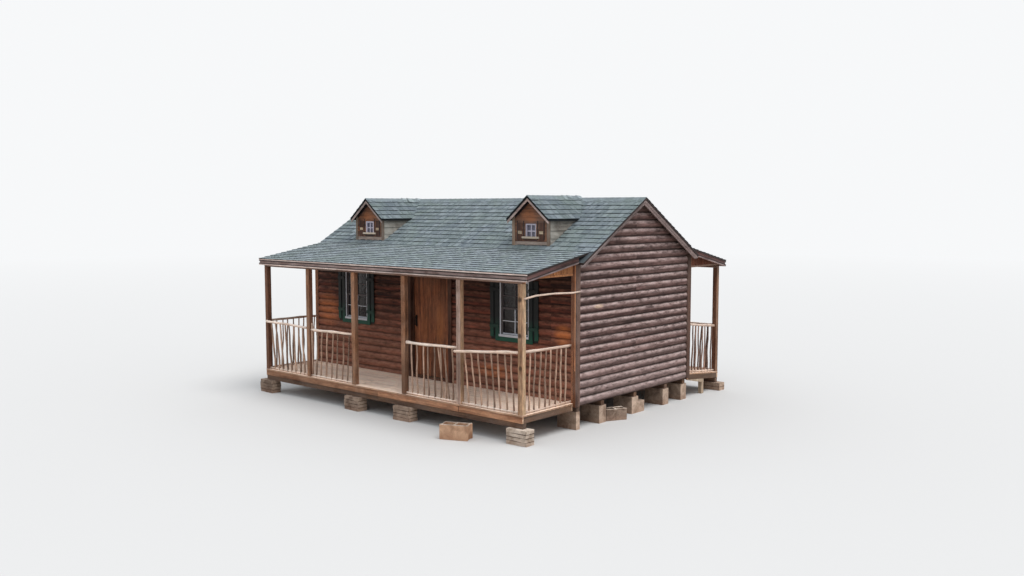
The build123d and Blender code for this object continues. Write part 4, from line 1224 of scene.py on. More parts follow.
    def caps(self, shop: Workshop) -> None:
        """Lays bent caps along the main ridge."""
        stock = Stock("ridge_cap_shingles", 8)
        half = CABIN.half_length + CABIN.gable_reach + self.edge_reach
        count = round(2 * half / self.cap_exposure)
        step = 2 * half / count
        middle = CABIN.depth / 2
        profile = cap_profile(self.cap_reach, self.cap_reach * CABIN.slope)
        for index in range(count):
            start = -half + index * step
            ends = (start, min(start + step + self.cap_lap, half))
            low, high = ([(x, middle + across, CABIN.ridge + lift + rise) for across, rise in profile]
                         for x, lift in zip(ends, self.cap_lifts))
            stock.prism(low, high, stock.dice.uniform(*self.cap_tones))
        stock.finish(shop.palette, SHINGLE, replaces=["ridge_cap"])

    def skin_finish(self, normal: Vector, middle: Vector) -> Finish:
        """The skin of a porch roof has a dark top, drip edges at its sides and a pale board elsewhere."""
        if normal.z > UPWARD:
            return SHINGLE_EDGE_SHADE
        return DARK_STRIP_AND_SHADOW if abs(normal.x) > SIDEWAYS else PORCH_EDGE


@dataclass
class RoofTrim:
    """Rakes, fascias, drip edges, rafters and the boards that close the porch ends."""

    drip: float = 0.020
    drip_drop: float = 0.004
    drip_thickness: float = 0.004
    bite: float = 0.001
    fascia: float = 0.092
    rake: float = 0.092
    inner_rake: float = 0.085
    line: float = 0.022
    # Heights of the painted shadow lines over the fascia's foot and along each end, as shares of a line
    shadow_line: float = 0.7
    side_shadow_line: float = 0.8
    side_proud: float = 0.003
    side_toe: float = 0.020
    infill_width: float = 0.245
    infill_thickness: float = 0.020
    infill_gap: float = 0.003
    rafter: float = 0.089
    strip_rise: float = 0.055

    def build(self, shop: Workshop) -> None:
        """Builds every board along the roof edges."""
        shop.worn("main_rake_boards", RAKE, 0.003, pick=self.rake_finish)
        shop.worn("porch_trim", FASCIA, 0.003,
                  pick=lambda normal, middle: PORCH_RAKE if abs(normal.x) > SIDEWAYS else FASCIA)
        shop.worn("porch_headers", HEADER, 0.004,
                  pick=lambda normal, middle: INFILL if abs(normal.x) > SIDEWAYS and middle.y < 0 else HEADER)
        shop.worn("porch_rafters", RAFTER, 0.002)
        shop.keep(RAFTER, "roof_trusses")
        self.lines(shop)
        self.infill(shop)

    def lines(self, shop: Workshop) -> None:
        """Adds the thin pale lines and the dark lines of painted shadow along the edges of both porch roofs.
        """
        pale = Stock("pale_edge_lines", 4)
        # Painted shadow: the dark lines under the drip edge, above the fascia's pale foot and along each end
        dark = Stock("shadow_edge_lines", 5)
        sides = Stock("side_edge_lines", 7)
        half = CABIN.half_length + CABIN.porch_reach
        for porch in (FRONT, REAR):
            start = porch.reach - self.bite
            y = (porch.y(start), porch.y(start + self.drip_thickness))
            top = porch.top(start) - self.drip_drop
            skin = CABIN.skin * math.hypot(1, porch.slope)
            foot = porch.top(start) - skin - self.fascia
            for stock, low, high in ((pale, top - self.drip, top),
                                     (dark, top - 2 * self.drip, top - self.drip),
                                     (pale, foot + self.bite, foot + self.line),
                                     (dark, foot + self.line, foot + (1 + self.shadow_line) * self.line)):
                stock.box((-half, half), y, (low, high))
            for side in (-1, 1):
                x = (side * half, side * (half + self.side_proud))
                for stock, low, high in ((sides, 0.0, 1.0), (dark, 1.0, 1.0 + self.side_shadow_line)):
                    corners = ((start, low), (self.side_toe, low), (self.side_toe, high), (start, high))
                    stock.profile_x([(porch.y(out), porch.top(out) - skin - self.rake + self.line * share)
                                     for out, share in corners], x)
        pale.finish(shop.palette, PALE_EDGE)
        dark.finish(shop.palette, DARK_STRIP_AND_SHADOW)
        sides.finish(shop.palette, PORCH_EDGE)

    def rake_finish(self, normal: Vector, middle: Vector) -> Wood:
        """The inner board of a main rake is darker than the strip along the roof."""
        depth = CABIN.main_top(middle.y + CABIN.plan_middle) - middle.z
        return RAKE_LOW if depth > self.inner_rake else RAKE

    def infill(self, shop: Workshop) -> None:
        """Closes both ends of each porch roof with upright boards over a bottom strip."""
        for porch, name, finish, nodes in ((FRONT, "porch_end_infill", INFILL, ["porch_end_boards"]),
                                           (REAR, "rear_end_infill", INFILL_SHADE, [])):
            stock = Stock(name, 6)
            under = porch.top(porch.depth) - CABIN.skin
            foot = under - self.rafter * math.hypot(1, porch.slope) + self.strip_rise
            count = round(porch.depth / self.infill_width)
            step = porch.depth / count
            for side in (-1, 1):
                x = (side * (CABIN.deck_half - self.infill_thickness), side * CABIN.deck_half)
                for board in range(count):
                    near, far = board * step + self.infill_gap, (board + 1) * step - self.infill_gap
                    stock.profile_x([(porch.y(near), foot), (porch.y(far), foot),
                                     (porch.y(far), porch.top(far) - CABIN.skin),
                                     (porch.y(near), porch.top(near) - CABIN.skin)], x)
            stock.finish(shop.palette, finish, bevel=0.002, replaces=nodes)


@dataclass
class Decks:
    """Deck boards, rims, joists and runners of both porches."""

    board: float = 0.14
    gap: float = 0.008
    butt_gap: float = 0.002
    cupping: float = 0.002
    rim_foot: float = 0.127
    rim_gap: float = 0.004
    rim_mark: float = 0.002
    edge_low: float = 0.003
    edge_proud: Span = (0.0005, 0.003)

    def build(self, shop: Workshop) -> None:
        """Builds the deck boards and dresses what carries them."""
        for porch, node in ((FRONT, "front_deck_boards"), (REAR, "rear_deck_boards")):
            self.lay(shop, porch, node)
        shop.worn("deck_rims", RIM, 0.003,
                  pick=lambda normal, middle: SIDE_RIM if abs(normal.x) > SIDEWAYS else RIM)
        self.rims(shop)
        shop.worn("deck_joists", JOIST, 0.002)
        shop.worn("deck_runners", SKID, 0.004)
        shop.worn("rear_deck_legs", PALE_LEG, 0.004)

    def lay(self, shop: Workshop, porch: Porch, node: str) -> None:
        """Lays the boards of one deck, each row in two lengths that meet at a post."""
        stock = Stock(node + "_laid", 11 + porch.wall.value)
        count = round(porch.depth / self.board)
        step = porch.depth / count
        for row in range(count):
            near = row * step + self.gap / 2 if row else 0.0
            far = (row + 1) * step - self.gap / 2
            joint = CABIN.post_x(1 + stock.dice.randrange(CABIN.post_count - 2))
            for x in ((-CABIN.deck_half, joint - self.butt_gap), (joint + self.butt_gap, CABIN.deck_half)):
                lift = -self.cupping * stock.dice.random()
                corners = ((near, lift), (far, lift), (far, -CABIN.deck_board), (near, -CABIN.deck_board))
                stock.profile_x([(porch.y(out), porch.deck(out) + rise) for out, rise in corners], x)
        stock.finish(shop.palette, DECK, bevel=0.003, replaces=[node])

    def rims(self, shop: Workshop) -> None:
        """Marks the joint in each rim and the worn edges of the deck boards over it."""
        joints = Stock("rim_joints", 13)
        edges = Stock("deck_edges", 15)
        joint, half, low = CABIN.post_x(4), CABIN.deck_half, CABIN.deck_board
        for porch in (FRONT, REAR):
            edge = porch.depth
            joints.box((joint - self.rim_gap, joint + self.rim_gap),
                       (porch.y(edge), porch.y(edge + self.rim_mark)),
                       (porch.deck(edge) - self.rim_foot, porch.deck(edge) - low))
            edges.box((-half, half), tuple(porch.y(edge + proud) for proud in self.edge_proud),
                      (porch.deck(edge) - low, porch.deck(edge) - self.edge_low))
            corners = ((0.0, self.edge_low), (edge, self.edge_low), (edge, low), (0.0, low))
            for side in (-1, 1):
                edges.profile_x([(porch.y(out), porch.deck(out) - drop) for out, drop in corners],
                                tuple(side * (half + proud) for proud in self.edge_proud))
        joints.finish(shop.palette, DARK_STRIP_AND_SHADOW)
        edges.finish(shop.palette, DECK_EDGE)


@dataclass
class Base:
    """Concrete piers and loose blocks, skids and floor."""

    slab: float = 0.061
    slab_size: Span = (0.400, 0.200)
    slab_reach: float = 0.125
    stack_in: float = 0.0385
    front_stack: float = 0.247
    rear_stack: float = 0.1504
    seam: float = 0.007
    seam_proud: float = 0.004
    porch_piers: float = -0.8
    end_piers: float = 3.0
    near_block: float = -2.0

    def build(self, shop: Workshop) -> None:
        """Dresses everything under the walls."""
        shop.worn("concrete_piers", CONCRETE, 0.006, pick=self.pier_finish)
        shop.worn("loose_blocks", CONCRETE_WARM, 0.004, pick=self.block_finish)
        self.seams(shop)
        shop.worn("floor_skids", SKID, 0.004)
        shop.worn("floor_rims", SKID, 0.003)
        shop.keep(JOIST, "floor_joists")
        shop.keep(FLOOR, "floor_boards")

    def seams(self, shop: Workshop) -> None:
        """Marks the dark joints between the slabs of the stacks under both decks."""
        stock = Stock("slab_seams", 14)
        half_x, half_y = (size / 2 + self.seam_proud for size in self.slab_size)
        outer = CABIN.deck_half - self.slab_size[0] / 2 + self.slab_reach
        inner = CABIN.bay / 2
        for porch, top in ((FRONT, self.front_stack), (REAR, self.rear_stack)):
            y = porch.y(porch.depth - self.stack_in)
            count = round(top / self.slab)
            for x in (-outer, -inner, inner, outer):
                for level in range(1, count):
                    z = top * level / count
                    stock.box((x - half_x, x + half_x), (y - half_y, y + half_y),
                              (z - self.seam / 2, z + self.seam / 2))
        stock.finish(shop.palette, CONCRETE_JOINT)

    def pier_finish(self, normal: Vector, middle: Vector) -> Concrete:
        """The stack under the right front corner is paler than the other piers, and the other piers' right
        sides carry painted light.
        """
        if middle.y + CABIN.plan_middle < self.porch_piers and middle.x > self.end_piers:
            return CONCRETE_PALE
        return CONCRETE_LIT_SIDE if normal.x > FACING else CONCRETE

    def block_finish(self, normal: Vector, middle: Vector) -> Concrete:
        """The loose blocks' tops are painted paler, as painted light from above, and the one in front is
        warmer.
        """
        if normal.z > FACING:
            return CONCRETE_PALE
        return CONCRETE_WARM if middle.y < self.near_block else CONCRETE


@dataclass
class Walls:
    """Log siding, corner boards and porch posts."""

    edge: float = 0.016
    edge_in: float = 0.002
    edge_proud: Span = (0.001, 0.004)
    edge_foot: float = 1.0
    edge_drop: float = 0.16
    # Finish of each front post's face and of its sides, from left to right
    stains: tuple[tuple[Wood, Wood], ...] = (
        (POST_DARK, POST_DARK), (POST_BROWN, POST_DARK), (POST_BROWN, POST_BROWN), (POST_BROWN, POST_BROWN),
        (POST_FACE, POST), (POST, POST_PALE))

    def build(self, shop: Workshop) -> None:
        """Dresses the walls, corner boards and posts, and adds painted highlights along the corners' edges.
        """
        shop.keep(SHADED_LOG, "front_wall_left", "front_wall_right", "front_wall_over_door", "rear_wall")
        shop.keep(GABLE_LOG, "left_gable_wall", "right_gable_wall")
        shop.worn("corner_boards", CORNER_BOARD, 0.003, pick=self.corner_finish)
        shop.worn("porch_posts", POST, 0.005, pick=self.post_finish)
        # Painted highlights: thin pale strips along the corners' edges
        edges = Stock("corner_edge_highlights", 12)
        for porch in (FRONT, REAR):
            y = porch.layer(self.edge_proud)
            for side in (-1, 1):
                x = side * (CABIN.half_length - self.edge_in)
                edges.box((x, x - side * self.edge), y, (self.edge_foot, porch.top(0.0) - self.edge_drop))
        edges.finish(shop.palette, CORNER_HIGHLIGHT)

    def corner_finish(self, normal: Vector, middle: Vector) -> Wood:
        """Rear corner boards are dark, and the front ones are browner on their sides."""
        if middle.y > 0:
            return CORNER_DARK
        return CORNER_SIDE if abs(normal.x) > SIDEWAYS else CORNER_BOARD

    def post_finish(self, normal: Vector, middle: Vector) -> Wood:
        """Front posts are darker to the left, each with one finish for its face and one for its sides."""
        face = normal.y < -FACING
        if middle.y > 0:
            return POST_DARK if face else POST_SHADE
        return self.stains[round((middle.x + CABIN.post_line) / CABIN.bay)][0 if face else 1]


@dataclass
class Doors:
    """Front door with its latch and hinges, and the shut rear door."""

    def build(self, shop: Workshop) -> None:
        """Dresses the doors and their frames."""
        shop.worn("door_leaf", DOOR, 0.002, body="front_door")
        shop.worn("rear_door", DOOR, 0.002)
        for node in ("door_jambs", "door_head", "door_sill", "rear_door_casing", "rear_door_sill"):
            shop.worn(node, CASING, 0.003)
        shop.keep(IRON, "door_latch", "leaf_hinges", "jamb_hinges")


@dataclass
class Windows:
    """Frames, sashes with their bars, glass, shutters and aprons."""

    spot: float = 2.095
    width: float = 0.680
    bottom: float = 1.440
    height: float = 0.985
    frame: float = 0.034
    sill: float = 0.040
    stile: float = 0.026
    bar: float = 0.014
    sash_faces: Span = (0.016, 0.030)
    sash_back: float = 0.0425
    sash_lap: float = 0.018
    back_gap: float = 0.012
    back_width: float = 0.182
    back_proud: Span = (0.001, 0.004)
    back_drop: float = 0.050
    sill_margin: float = 0.010
    dormer_margin: float = 0.020
    dormer_sill: float = 0.036

    def build(self, shop: Workshop) -> None:
        """Builds the sashes and the dark slots behind the shutters, and dresses the rest."""
        shop.worn("window_frames", WHITE, 0.002, pick=self.frame_finish)
        shop.worn("window_glass", GLASS, 0.0,
                  pick=lambda normal, middle: GLASS_SKY_REFLECTION if middle.z > Dormer.window_low else GLASS)
        shop.worn("window_shutters", GREEN, 0.003)
        shop.worn("window_aprons", GREEN, 0.003)
        backs = Stock("shutter_backs", 14)
        bright = Stock("window_bars", 9)
        shaded_parts = Stock("window_sashes", 10)
        for porch in (FRONT, REAR):
            for x in (-self.spot, self.spot):
                for side in (-1, 1):
                    edge = x + side * (self.width / 2 + self.back_gap)
                    backs.box((edge, edge + side * self.back_width), porch.layer(self.back_proud),
                              (self.bottom - self.back_drop, self.bottom + self.height))
                self.sashes(bright, shaded_parts, porch, x)
        backs.finish(shop.palette, GREEN_SLOT)
        bright.finish(shop.palette, WHITE, bevel=0.001)
        shaded_parts.finish(shop.palette, SASH_SHADE, bevel=0.001)

    def frame_finish(self, normal: Vector, middle: Vector) -> Paint:
        """The main windows' frames have painted shade on their inner sides above the sill; the dormers'
        frames are faded, with a cream sill.
        """
        if middle.z < Dormer.window_low - self.dormer_margin:
            over_sill = middle.z > self.bottom + self.sill + self.sill_margin
            return SASH_SHADE if abs(normal.x) > SIDEWAYS and over_sill else WHITE
        return CREAM if middle.z < Dormer.window_low + self.dormer_sill else LILAC

    def sashes(self, bright: Stock, shaded_parts: Stock, porch: Porch, x: float) -> None:
        """Adds both sashes of one window: the upper sash, all stiles and the top rails in painted shade, the
        lower sash's bottom rail and bars white.
        """
        half = self.width / 2 - self.frame
        inner = half - self.stile
        low = self.bottom + self.sill
        high = self.bottom + self.height - self.frame
        middle = (low + high) / 2
        sashes = ((bright, low, middle + self.sash_lap), (shaded_parts, middle - self.sash_lap, high))
        for (stock, z0, z1), face in zip(sashes, self.sash_faces):
            y = porch.layer((-face, -self.sash_back))
            centre = (z0 + z1) / 2
            for side in (-1, 1):
                shaded_parts.box((x + side * half, x + side * inner), y, (z0, z1), EVEN)
            stock.box((x - inner, x + inner), y, (z0, z0 + self.stile), EVEN)
            shaded_parts.box((x - inner, x + inner), y, (z1 - self.stile, z1), EVEN)
            stock.box((x - self.bar / 2, x + self.bar / 2), y, (z0 + self.stile, z1 - self.stile), EVEN)
            for side in (-1, 1):
                stock.box((x + side * self.bar / 2, x + side * inner), y,
                          (centre - self.bar / 2, centre + self.bar / 2), EVEN)


@dataclass
class Dormer:
    """One small dormer with its boards, bars and shingles."""

    x: float
    ridge: float
    half: float = 0.425
    face: float = 0.410
    pitch: float = math.radians(40.3)
    eave_reach: float = 0.048
    front_reach: float = 0.115
    tile_reach: float = 0.004
    skin: float = 0.028
    window_half: float = 0.1175
    window_low: float = 3.145
    window_high: float = 3.402
    window_frame: float = 0.024
    bar_half: float = 0.009
    bar_layer: Span = (0.004, 0.022)
    board_foot: float = 2.990
    board: float = 0.105
    board_faces: Span = (0.014, 0.005)
    board_gap: float = 0.002
    board_end: float = 0.062
    least: float = 0.020
    cheek_board: float = 0.138
    cheek_faces: Span = (0.016, 0.006)
    cheek_inset: float = 0.010
    cheek_drop: float = 0.020
    # Painted shadows on the dormer's face: beside the shutters, under the sill and under the rakes
    shadow_layer: Span = (-0.010, -0.0185)
    shadow_offsets: Span = (0.158, 0.302)
    shadow_half: float = 0.008
    shadow_ends: Span = (-0.020, 0.050)
    sill_half: float = 0.15
    sill_shadow: Span = (-0.035, -0.018)
    rake_shadow: Span = (0.065, 0.050)
    rake_in: float = 0.070
    rake_face: float = 0.0175
    batten: Span = (0.200, 0.285)
    batten_layer: Span = (-0.018, -0.024)
    batten_rise: Span = (0.080, 0.130)
    # Painted shadow under each eave: a dark band along the top of each cheek
    eave_shadow_drop: float = 0.040
    eave_shadow_edge: float = 0.020
    eave_shadow_reach: float = 0.024
    cap: float = 0.14
    cap_reach: Span = (0.045, 0.095)
    cap_lap: float = 0.010
    cap_lift: float = 0.009
    cap_curl: Span = (0.014, 0.024)
    cap_shift: float = 0.030
    cap_tones: Span = (0.45, 1.0)

    @property
    def rise(self) -> float:
        """Rise of the dormer's roof over one metre."""
        return math.tan(self.pitch)

    def valley(self, z: float) -> float:
        """Where a level line on a dormer meets the main roof."""
        return CABIN.break_inset + (z - CABIN.break_height) / CABIN.slope

    def crown(self, offset: float) -> float:
        """Height under the roof skin at a distance from the ridge."""
        return self.ridge - self.skin * math.hypot(1, self.rise) - self.rise * offset

    def layer(self, proud: Span) -> Span:
        """Places across the cabin of a thin layer by the dormer's face."""
        return self.face + proud[0], self.face + proud[1]

    def front(self, upper: Stock, lowest: Stock) -> None:
        """Lays level boards on the front, round the window."""
        top = self.crown(0.0)
        y = self.face
        foot_y, top_y = (y - proud for proud in self.board_faces)
        z = self.board_foot
        while z < top - self.board_end / 2:
            high = min(z + self.board, top)
            half = min(self.half - self.board_end, max(self.least, (top - (z + high) / 2) / self.rise))
            spans = [(self.x - half, self.x + half)]
            if high > self.window_low and z < self.window_high:
                spans = [(self.x - half, self.x - self.window_half),
                         (self.x + self.window_half, self.x + half)]
            stock = lowest if high < self.window_low else upper
            for near, far in spans:
                if far - near > self.least / 2:
                    stock.prism([(near, y, z), (far, y, z), (far, y, high), (near, y, high)],
                                [(near, foot_y, z), (far, foot_y, z), (far, top_y, high - self.board_gap),
                                 (near, top_y, high - self.board_gap)])
            z += self.board

    def cheek(self, stock: Stock) -> None:
        """Lays level lap boards on both cheeks, down to the main roof."""
        top = self.crown(self.half)
        z = CABIN.main_top(self.face) - self.cheek_drop
        while z < top:
            high = min(z + self.cheek_board, top)
            back_low = max(self.valley(z), self.face + self.cheek_inset)
            back_high = self.valley(high)
            for side in (-1, 1):
                edge = self.x + side * self.half
                out, inner = (edge + side * proud for proud in self.cheek_faces)
                stock.prism([(edge, self.face, z), (edge, back_low, z), (edge, back_high, high),
                             (edge, self.face, high)],
                            [(out, self.face, z), (out, back_low, z), (inner, back_high, high),
                             (inner, self.face, high)])
            z += self.cheek_board

    def slots(self, stock: Stock) -> None:
        """Adds painted shadows: dark strips beside the shutters, under the sill and under the rakes."""
        y = self.layer(self.shadow_layer)
        for side in (-1, 1):
            for offset in self.shadow_offsets:
                x = self.x + side * offset
                stock.box((x - self.shadow_half, x + self.shadow_half), y,
                          (self.window_low + self.shadow_ends[0], self.window_high + self.shadow_ends[1]))
        stock.box((self.x - self.sill_half, self.x + self.sill_half), y,
                  (self.window_low + self.sill_shadow[0], self.window_low + self.sill_shadow[1]))
        reach = self.half - self.rake_in
        for side in (-1, 1):
            edge = self.x + side * reach
            stock.profile_y([(self.x, self.crown(0.0)), (edge, self.crown(reach)),
                             (edge, self.crown(reach) - self.rake_shadow[1]),
                             (self.x, self.crown(0.0) - self.rake_shadow[0])],
                            (y[0], self.face - self.rake_face))

    def battens(self, stock: Stock) -> None:
        """Adds a pale batten across each shutter."""
        for side in (-1, 1):
            stock.box((self.x + side * self.batten[0], self.x + side * self.batten[1]),
                      self.layer(self.batten_layer),
                      (self.window_low + self.batten_rise[0], self.window_low + self.batten_rise[1]), EVEN)

    def eave_shadow(self, stock: Stock) -> None:
        """Adds a painted eave shadow: a dark band along the top of each cheek, under the eave."""
        top = self.crown(self.half)
        low, outer = top - self.eave_shadow_drop, top - self.eave_shadow_edge
        for side in (-1, 1):
            edge = self.x + side * self.half
            out = edge + side * self.eave_shadow_reach
            stock.prism([(edge, self.face, low), (edge, self.valley(low), low), (edge, self.valley(top), top),
                         (edge, self.face, top)],
                        [(out, self.face, low), (out, self.valley(low), low),
                         (out, self.valley(outer), outer), (out, self.face, outer)])

    def bars(self, stock: Stock) -> None:
        """Adds the cross of bars in the dormer's window."""
        inner = self.window_half - self.window_frame
        middle = (self.window_low + self.window_high) / 2
        y = self.layer(self.bar_layer)
        stock.box((self.x - self.bar_half, self.x + self.bar_half), y,
                  (self.window_low + self.window_frame, self.window_high - self.window_frame), EVEN)
        for side in (-1, 1):
            stock.box((self.x + side * self.bar_half, self.x + side * inner), y,
                      (middle - self.bar_half, middle + self.bar_half), EVEN)

    def caps(self, stock: Stock) -> None:
        """Lays bent caps along the ridge, curled and broken towards the back."""
        dice = stock.dice
        front = self.face - self.front_reach - self.tile_reach
        count = round((CABIN.depth / 2 - front) / self.cap)
        step = (CABIN.depth / 2 - front) / count
        for index in range(count):
            curled = index > count / 2 and index % 3 > 0
            reach = dice.uniform(*self.cap_reach)
            x = self.x + (self.cap_shift * (dice.random() - 0.5) if curled else 0.0)
            profile = cap_profile(reach, reach * self.rise)
            start = front + index * step
            ends = ((start, self.cap_curl[curled]), (start + step + self.cap_lap, self.cap_lift))
            low, high = ([(x + across, y, self.ridge + lift + rise) for across, rise in profile]
                         for y, lift in ends)
            stock.prism(low, high, self.cap_tones[curled])

    def tiles(self, stock: Stock) -> None:
        """Covers both slopes of a dormer's roof."""
        reach = self.half + self.eave_reach
        front = self.face - self.front_reach - self.tile_reach
        eave = self.ridge - self.rise * reach
        sine, cosine = math.sin(self.pitch), math.cos(self.pitch)

        def span(s: float) -> Span:
            """From the front edge back to the valley."""
            return front, min(self.valley(eave + s * sine), CABIN.depth / 2)
        for side in (-1, 1):
            def at(along: float, s: float, lift: float) -> Point:
                """Point on one slope of the dormer."""
                offset = reach - s * cosine + lift * sine
                return self.x + side * offset, along, eave + s * sine + lift * cosine
            ROOF.cover(stock, at, reach / cosine, span, ROOF.overhang, ROOF.dormer_painted_shade)


@dataclass
class Dormers:
    """The two dormers, the right one a little higher."""

    shutter: float = 0.33
    rake_front: float = 0.03
    left: Dormer = field(default_factory=lambda: Dormer(-2.130, 3.860))
    right: Dormer = field(default_factory=lambda: Dormer(2.130, 3.888))

    def build(self, shop: Workshop) -> None:
        """Builds the boards and shingles of both dormers."""
        shop.worn("dormer_walls", DORMER, 0.0)
        shop.worn("dormer_trim", DORMER_TRIM, 0.002, pick=self.trim_finish)
        battens = Stock("dormer_shutter_battens", 25)
        shadows = Stock("dormer_painted_shadows", 26)
        low = Stock("dormer_low_boards", 27)
        boards = Stock("dormer_front_boards", 21)
        cheeks = Stock("dormer_cheek_boards", 22)
        bars = Stock("dormer_window_bars", 23)
        tiles = Stock("dormer_shingles", 24)
        for dormer in (self.left, self.right):
            dormer.front(boards, low)
            dormer.battens(battens)
            dormer.eave_shadow(shadows)
            dormer.slots(shadows)
            dormer.cheek(cheeks)
            dormer.bars(bars)
            dormer.tiles(tiles)
            dormer.caps(tiles)
        boards.finish(shop.palette, DORMER, bevel=0.002)
        low.finish(shop.palette, DORMER_LOW, bevel=0.002)
        battens.finish(shop.palette, BATTEN, bevel=0.002)
        shadows.finish(shop.palette, DARK_STRIP_AND_SHADOW)
        cheeks.finish(shop.palette, CHEEK, bevel=0.002)
        bars.finish(shop.palette, LILAC, bevel=0.001)
        tiles.finish(shop.palette, SHINGLE, others=[SHINGLE_EDGE_SHADE, SHINGLE_SHADE_BAND])

    def trim_finish(self, normal: Vector, middle: Vector) -> Wood:
        """Rakes, corner boards and shutters of a dormer each have their own stain."""
        dormer = self.left if middle.x < 0 else self.right
        offset = abs(middle.x - dormer.x)
        if middle.y + CABIN.plan_middle < dormer.face - self.rake_front:
            return DORMER_RAKE
        return DORMER_SHUTTER if offset < self.shutter else DORMER_TRIM


ROOF = Roof()


@dataclass(frozen=True)
class Panel:
    """Stick panel between two posts, as heights of its rail over the deck and the stance of its sticks."""

    start_height: float
    end_height: float
    sticks: int = 8
    lean: float = 0.0
    radius: float = 0.014
    lap: float = 0.0
    crossed: tuple[int, ...] = ()
    tall: float = 0.0


@dataclass
class Railings:
    """Peeled-pole railings along both porches."""

    rail_radius: float = 0.024
    foot_radius: float = 0.018
    foot_height: float = 0.026
    wander: float = 0.009
    bow: float = 0.012
    spread: float = 0.072
    seat: float = 0.0003
    sunk: float = 0.02
    rail_taper: float = 0.92
    stick_taper: Span = (1.15, 0.9)
    crossed_taper: float = 0.8
    tall_taper: float = 1.2
    rail_kink: float = 0.006
    foot_kink: float = 0.002
    stick_kink: float = 0.011
    tall_kink: float = 0.004
    stick_wave: float = 2.4
    top_wave: float = 1.7
    bow_wave: float = 2.9
    steps: int = 5
    knot_swell: float = 0.22
    knot_reach: float = 1 / 14
    front: dict[int, Panel] = field(default_factory=lambda: {
        0: Panel(0.955, 0.928, lean=-0.033, radius=0.017, lap=0.025),
        1: Panel(0.890, 0.924, sticks=7, lean=0.060, tall=0.125),
        3: Panel(0.909, 0.920, lean=-0.018, crossed=(5, 6)),
        4: Panel(0.892, 0.968, lean=-0.045, lap=0.113)})
    rear: dict[int, Panel] = field(default_factory=lambda: {
        0: Panel(0.930, 0.938, lean=0.022, radius=0.015),
        1: Panel(0.936, 0.925, sticks=7, lean=-0.028),
        3: Panel(0.925, 0.940, lean=0.016),
        4: Panel(0.940, 0.930, lean=-0.034, radius=0.016)})
    front_end: Panel = Panel(0.973, 0.965, lean=0.034)
    rear_end: Panel = Panel(0.936, 0.946, lean=-0.020)

    def build(self, shop: Workshop) -> None:
        """Builds the poles of both porches."""
        for porch, bays, end, phase, node in ((FRONT, self.front, self.front_end, 0.4, "front_railings"),
                                              (REAR, self.rear, self.rear_end, 3.1, "rear_railings")):
            sticks = Stock(node + "_sticks", 31)
            rails = Stock(node + "_rails", 32)
            sides = Stock(node + "_side_rails", 33)
            line = porch.depth - CABIN.post / 2
            inner = porch.depth - CABIN.post
            half = CABIN.post / 2
            for bay, panel in bays.items():
                first = CABIN.post_x(bay) + half if porch is FRONT else CABIN.post_x(bay + 1) - half
                place = Matrix.Translation((first, porch.y(line), porch.deck(line)))
                if porch is REAR:
                    place = place @ Matrix.Rotation(math.pi, 4, "Z")
                self.panel(sticks, rails, place, CABIN.bay - CABIN.post, panel, 0.0, phase + bay)
            rise = porch.deck(0.0) - porch.deck(inner)
            for index, x in enumerate((-CABIN.post_line, CABIN.post_line)):
                place = Matrix.Translation((x, porch.y(inner), porch.deck(inner)))
                place = place @ Matrix.Rotation(math.pi / 2 if porch is FRONT else 3 * math.pi / 2, 4, "Z")
                self.panel(sticks, sides, place, inner, end, rise, phase + CABIN.post_count + index)
            sticks.finish(shop.palette, STICK if porch is FRONT else STICK_SHADE, replaces=[node])
            rails.finish(shop.palette, RAIL)
            sides.finish(shop.palette, SIDE_RAIL)

    def panel(self, sticks: Stock, rails: Stock, place: Matrix, length: float, panel: Panel, rise: float,
              phase: float) -> None:
        """Adds one panel.

        Args:
            sticks: Piece that takes the uprights.
            rails: Piece that takes the rails.
            place: Where the panel's start stands and which way it runs.
            length: Length between the posts.
            panel: The panel's own stance.
            rise: Rise of the deck along it.
            phase: Start of its waves.
        """
        lap_side = -(CABIN.post / 2 + self.rail_radius * HEX_FLAT + self.seat) if panel.lap else 0.0
        turn = self.rail_radius if panel.lap else 0.0

        def rail_at(x: float) -> Vector:
            """Point on the axis of the top rail."""
            share = x / length
            inward = max((x - turn) / (length - turn), 0.0)
            sag = self.wander * math.sin(phase + 4 * share)
            height = panel.start_height + (panel.end_height - panel.start_height) * share
            return Vector((x, lap_side * (1 - inward), height + rise * share + sag))

        def pole(stock: Stock, path: list[Vector], radii: tuple[float, float], kinks: float) -> None:
            """Adds a crooked pole with a few knots between two or more points."""
            points: list[Point] = []
            sizes: list[float] = []
            knots = [stock.dice.random() for _ in range(2)]
            ahead = (path[-1] - path[0]).normalized()
            side = ahead.orthogonal().normalized()
            for leg, (start, end) in enumerate(zip(path, path[1:])):
                for step in range(self.steps + (leg == len(path) - 2)):
                    share = step / self.steps
                    along = (leg + share) / (len(path) - 1)
                    bend = kinks * math.sin(math.pi * along) * math.sin(7 * along + 9 * knots[0])
                    twist = Matrix.Rotation(5 * knots[1] + 2 * along, 3, ahead) @ side
                    points.append(tuple(place @ (start.lerp(end, share) + twist * bend)))
                    swell = sum(max(0.0, 1 - abs(along - knot) / self.knot_reach) for knot in knots)
                    sizes.append((radii[0] + (radii[1] - radii[0]) * along) * (1 + self.knot_swell * swell))
            stock.pole(points, sizes, 8)

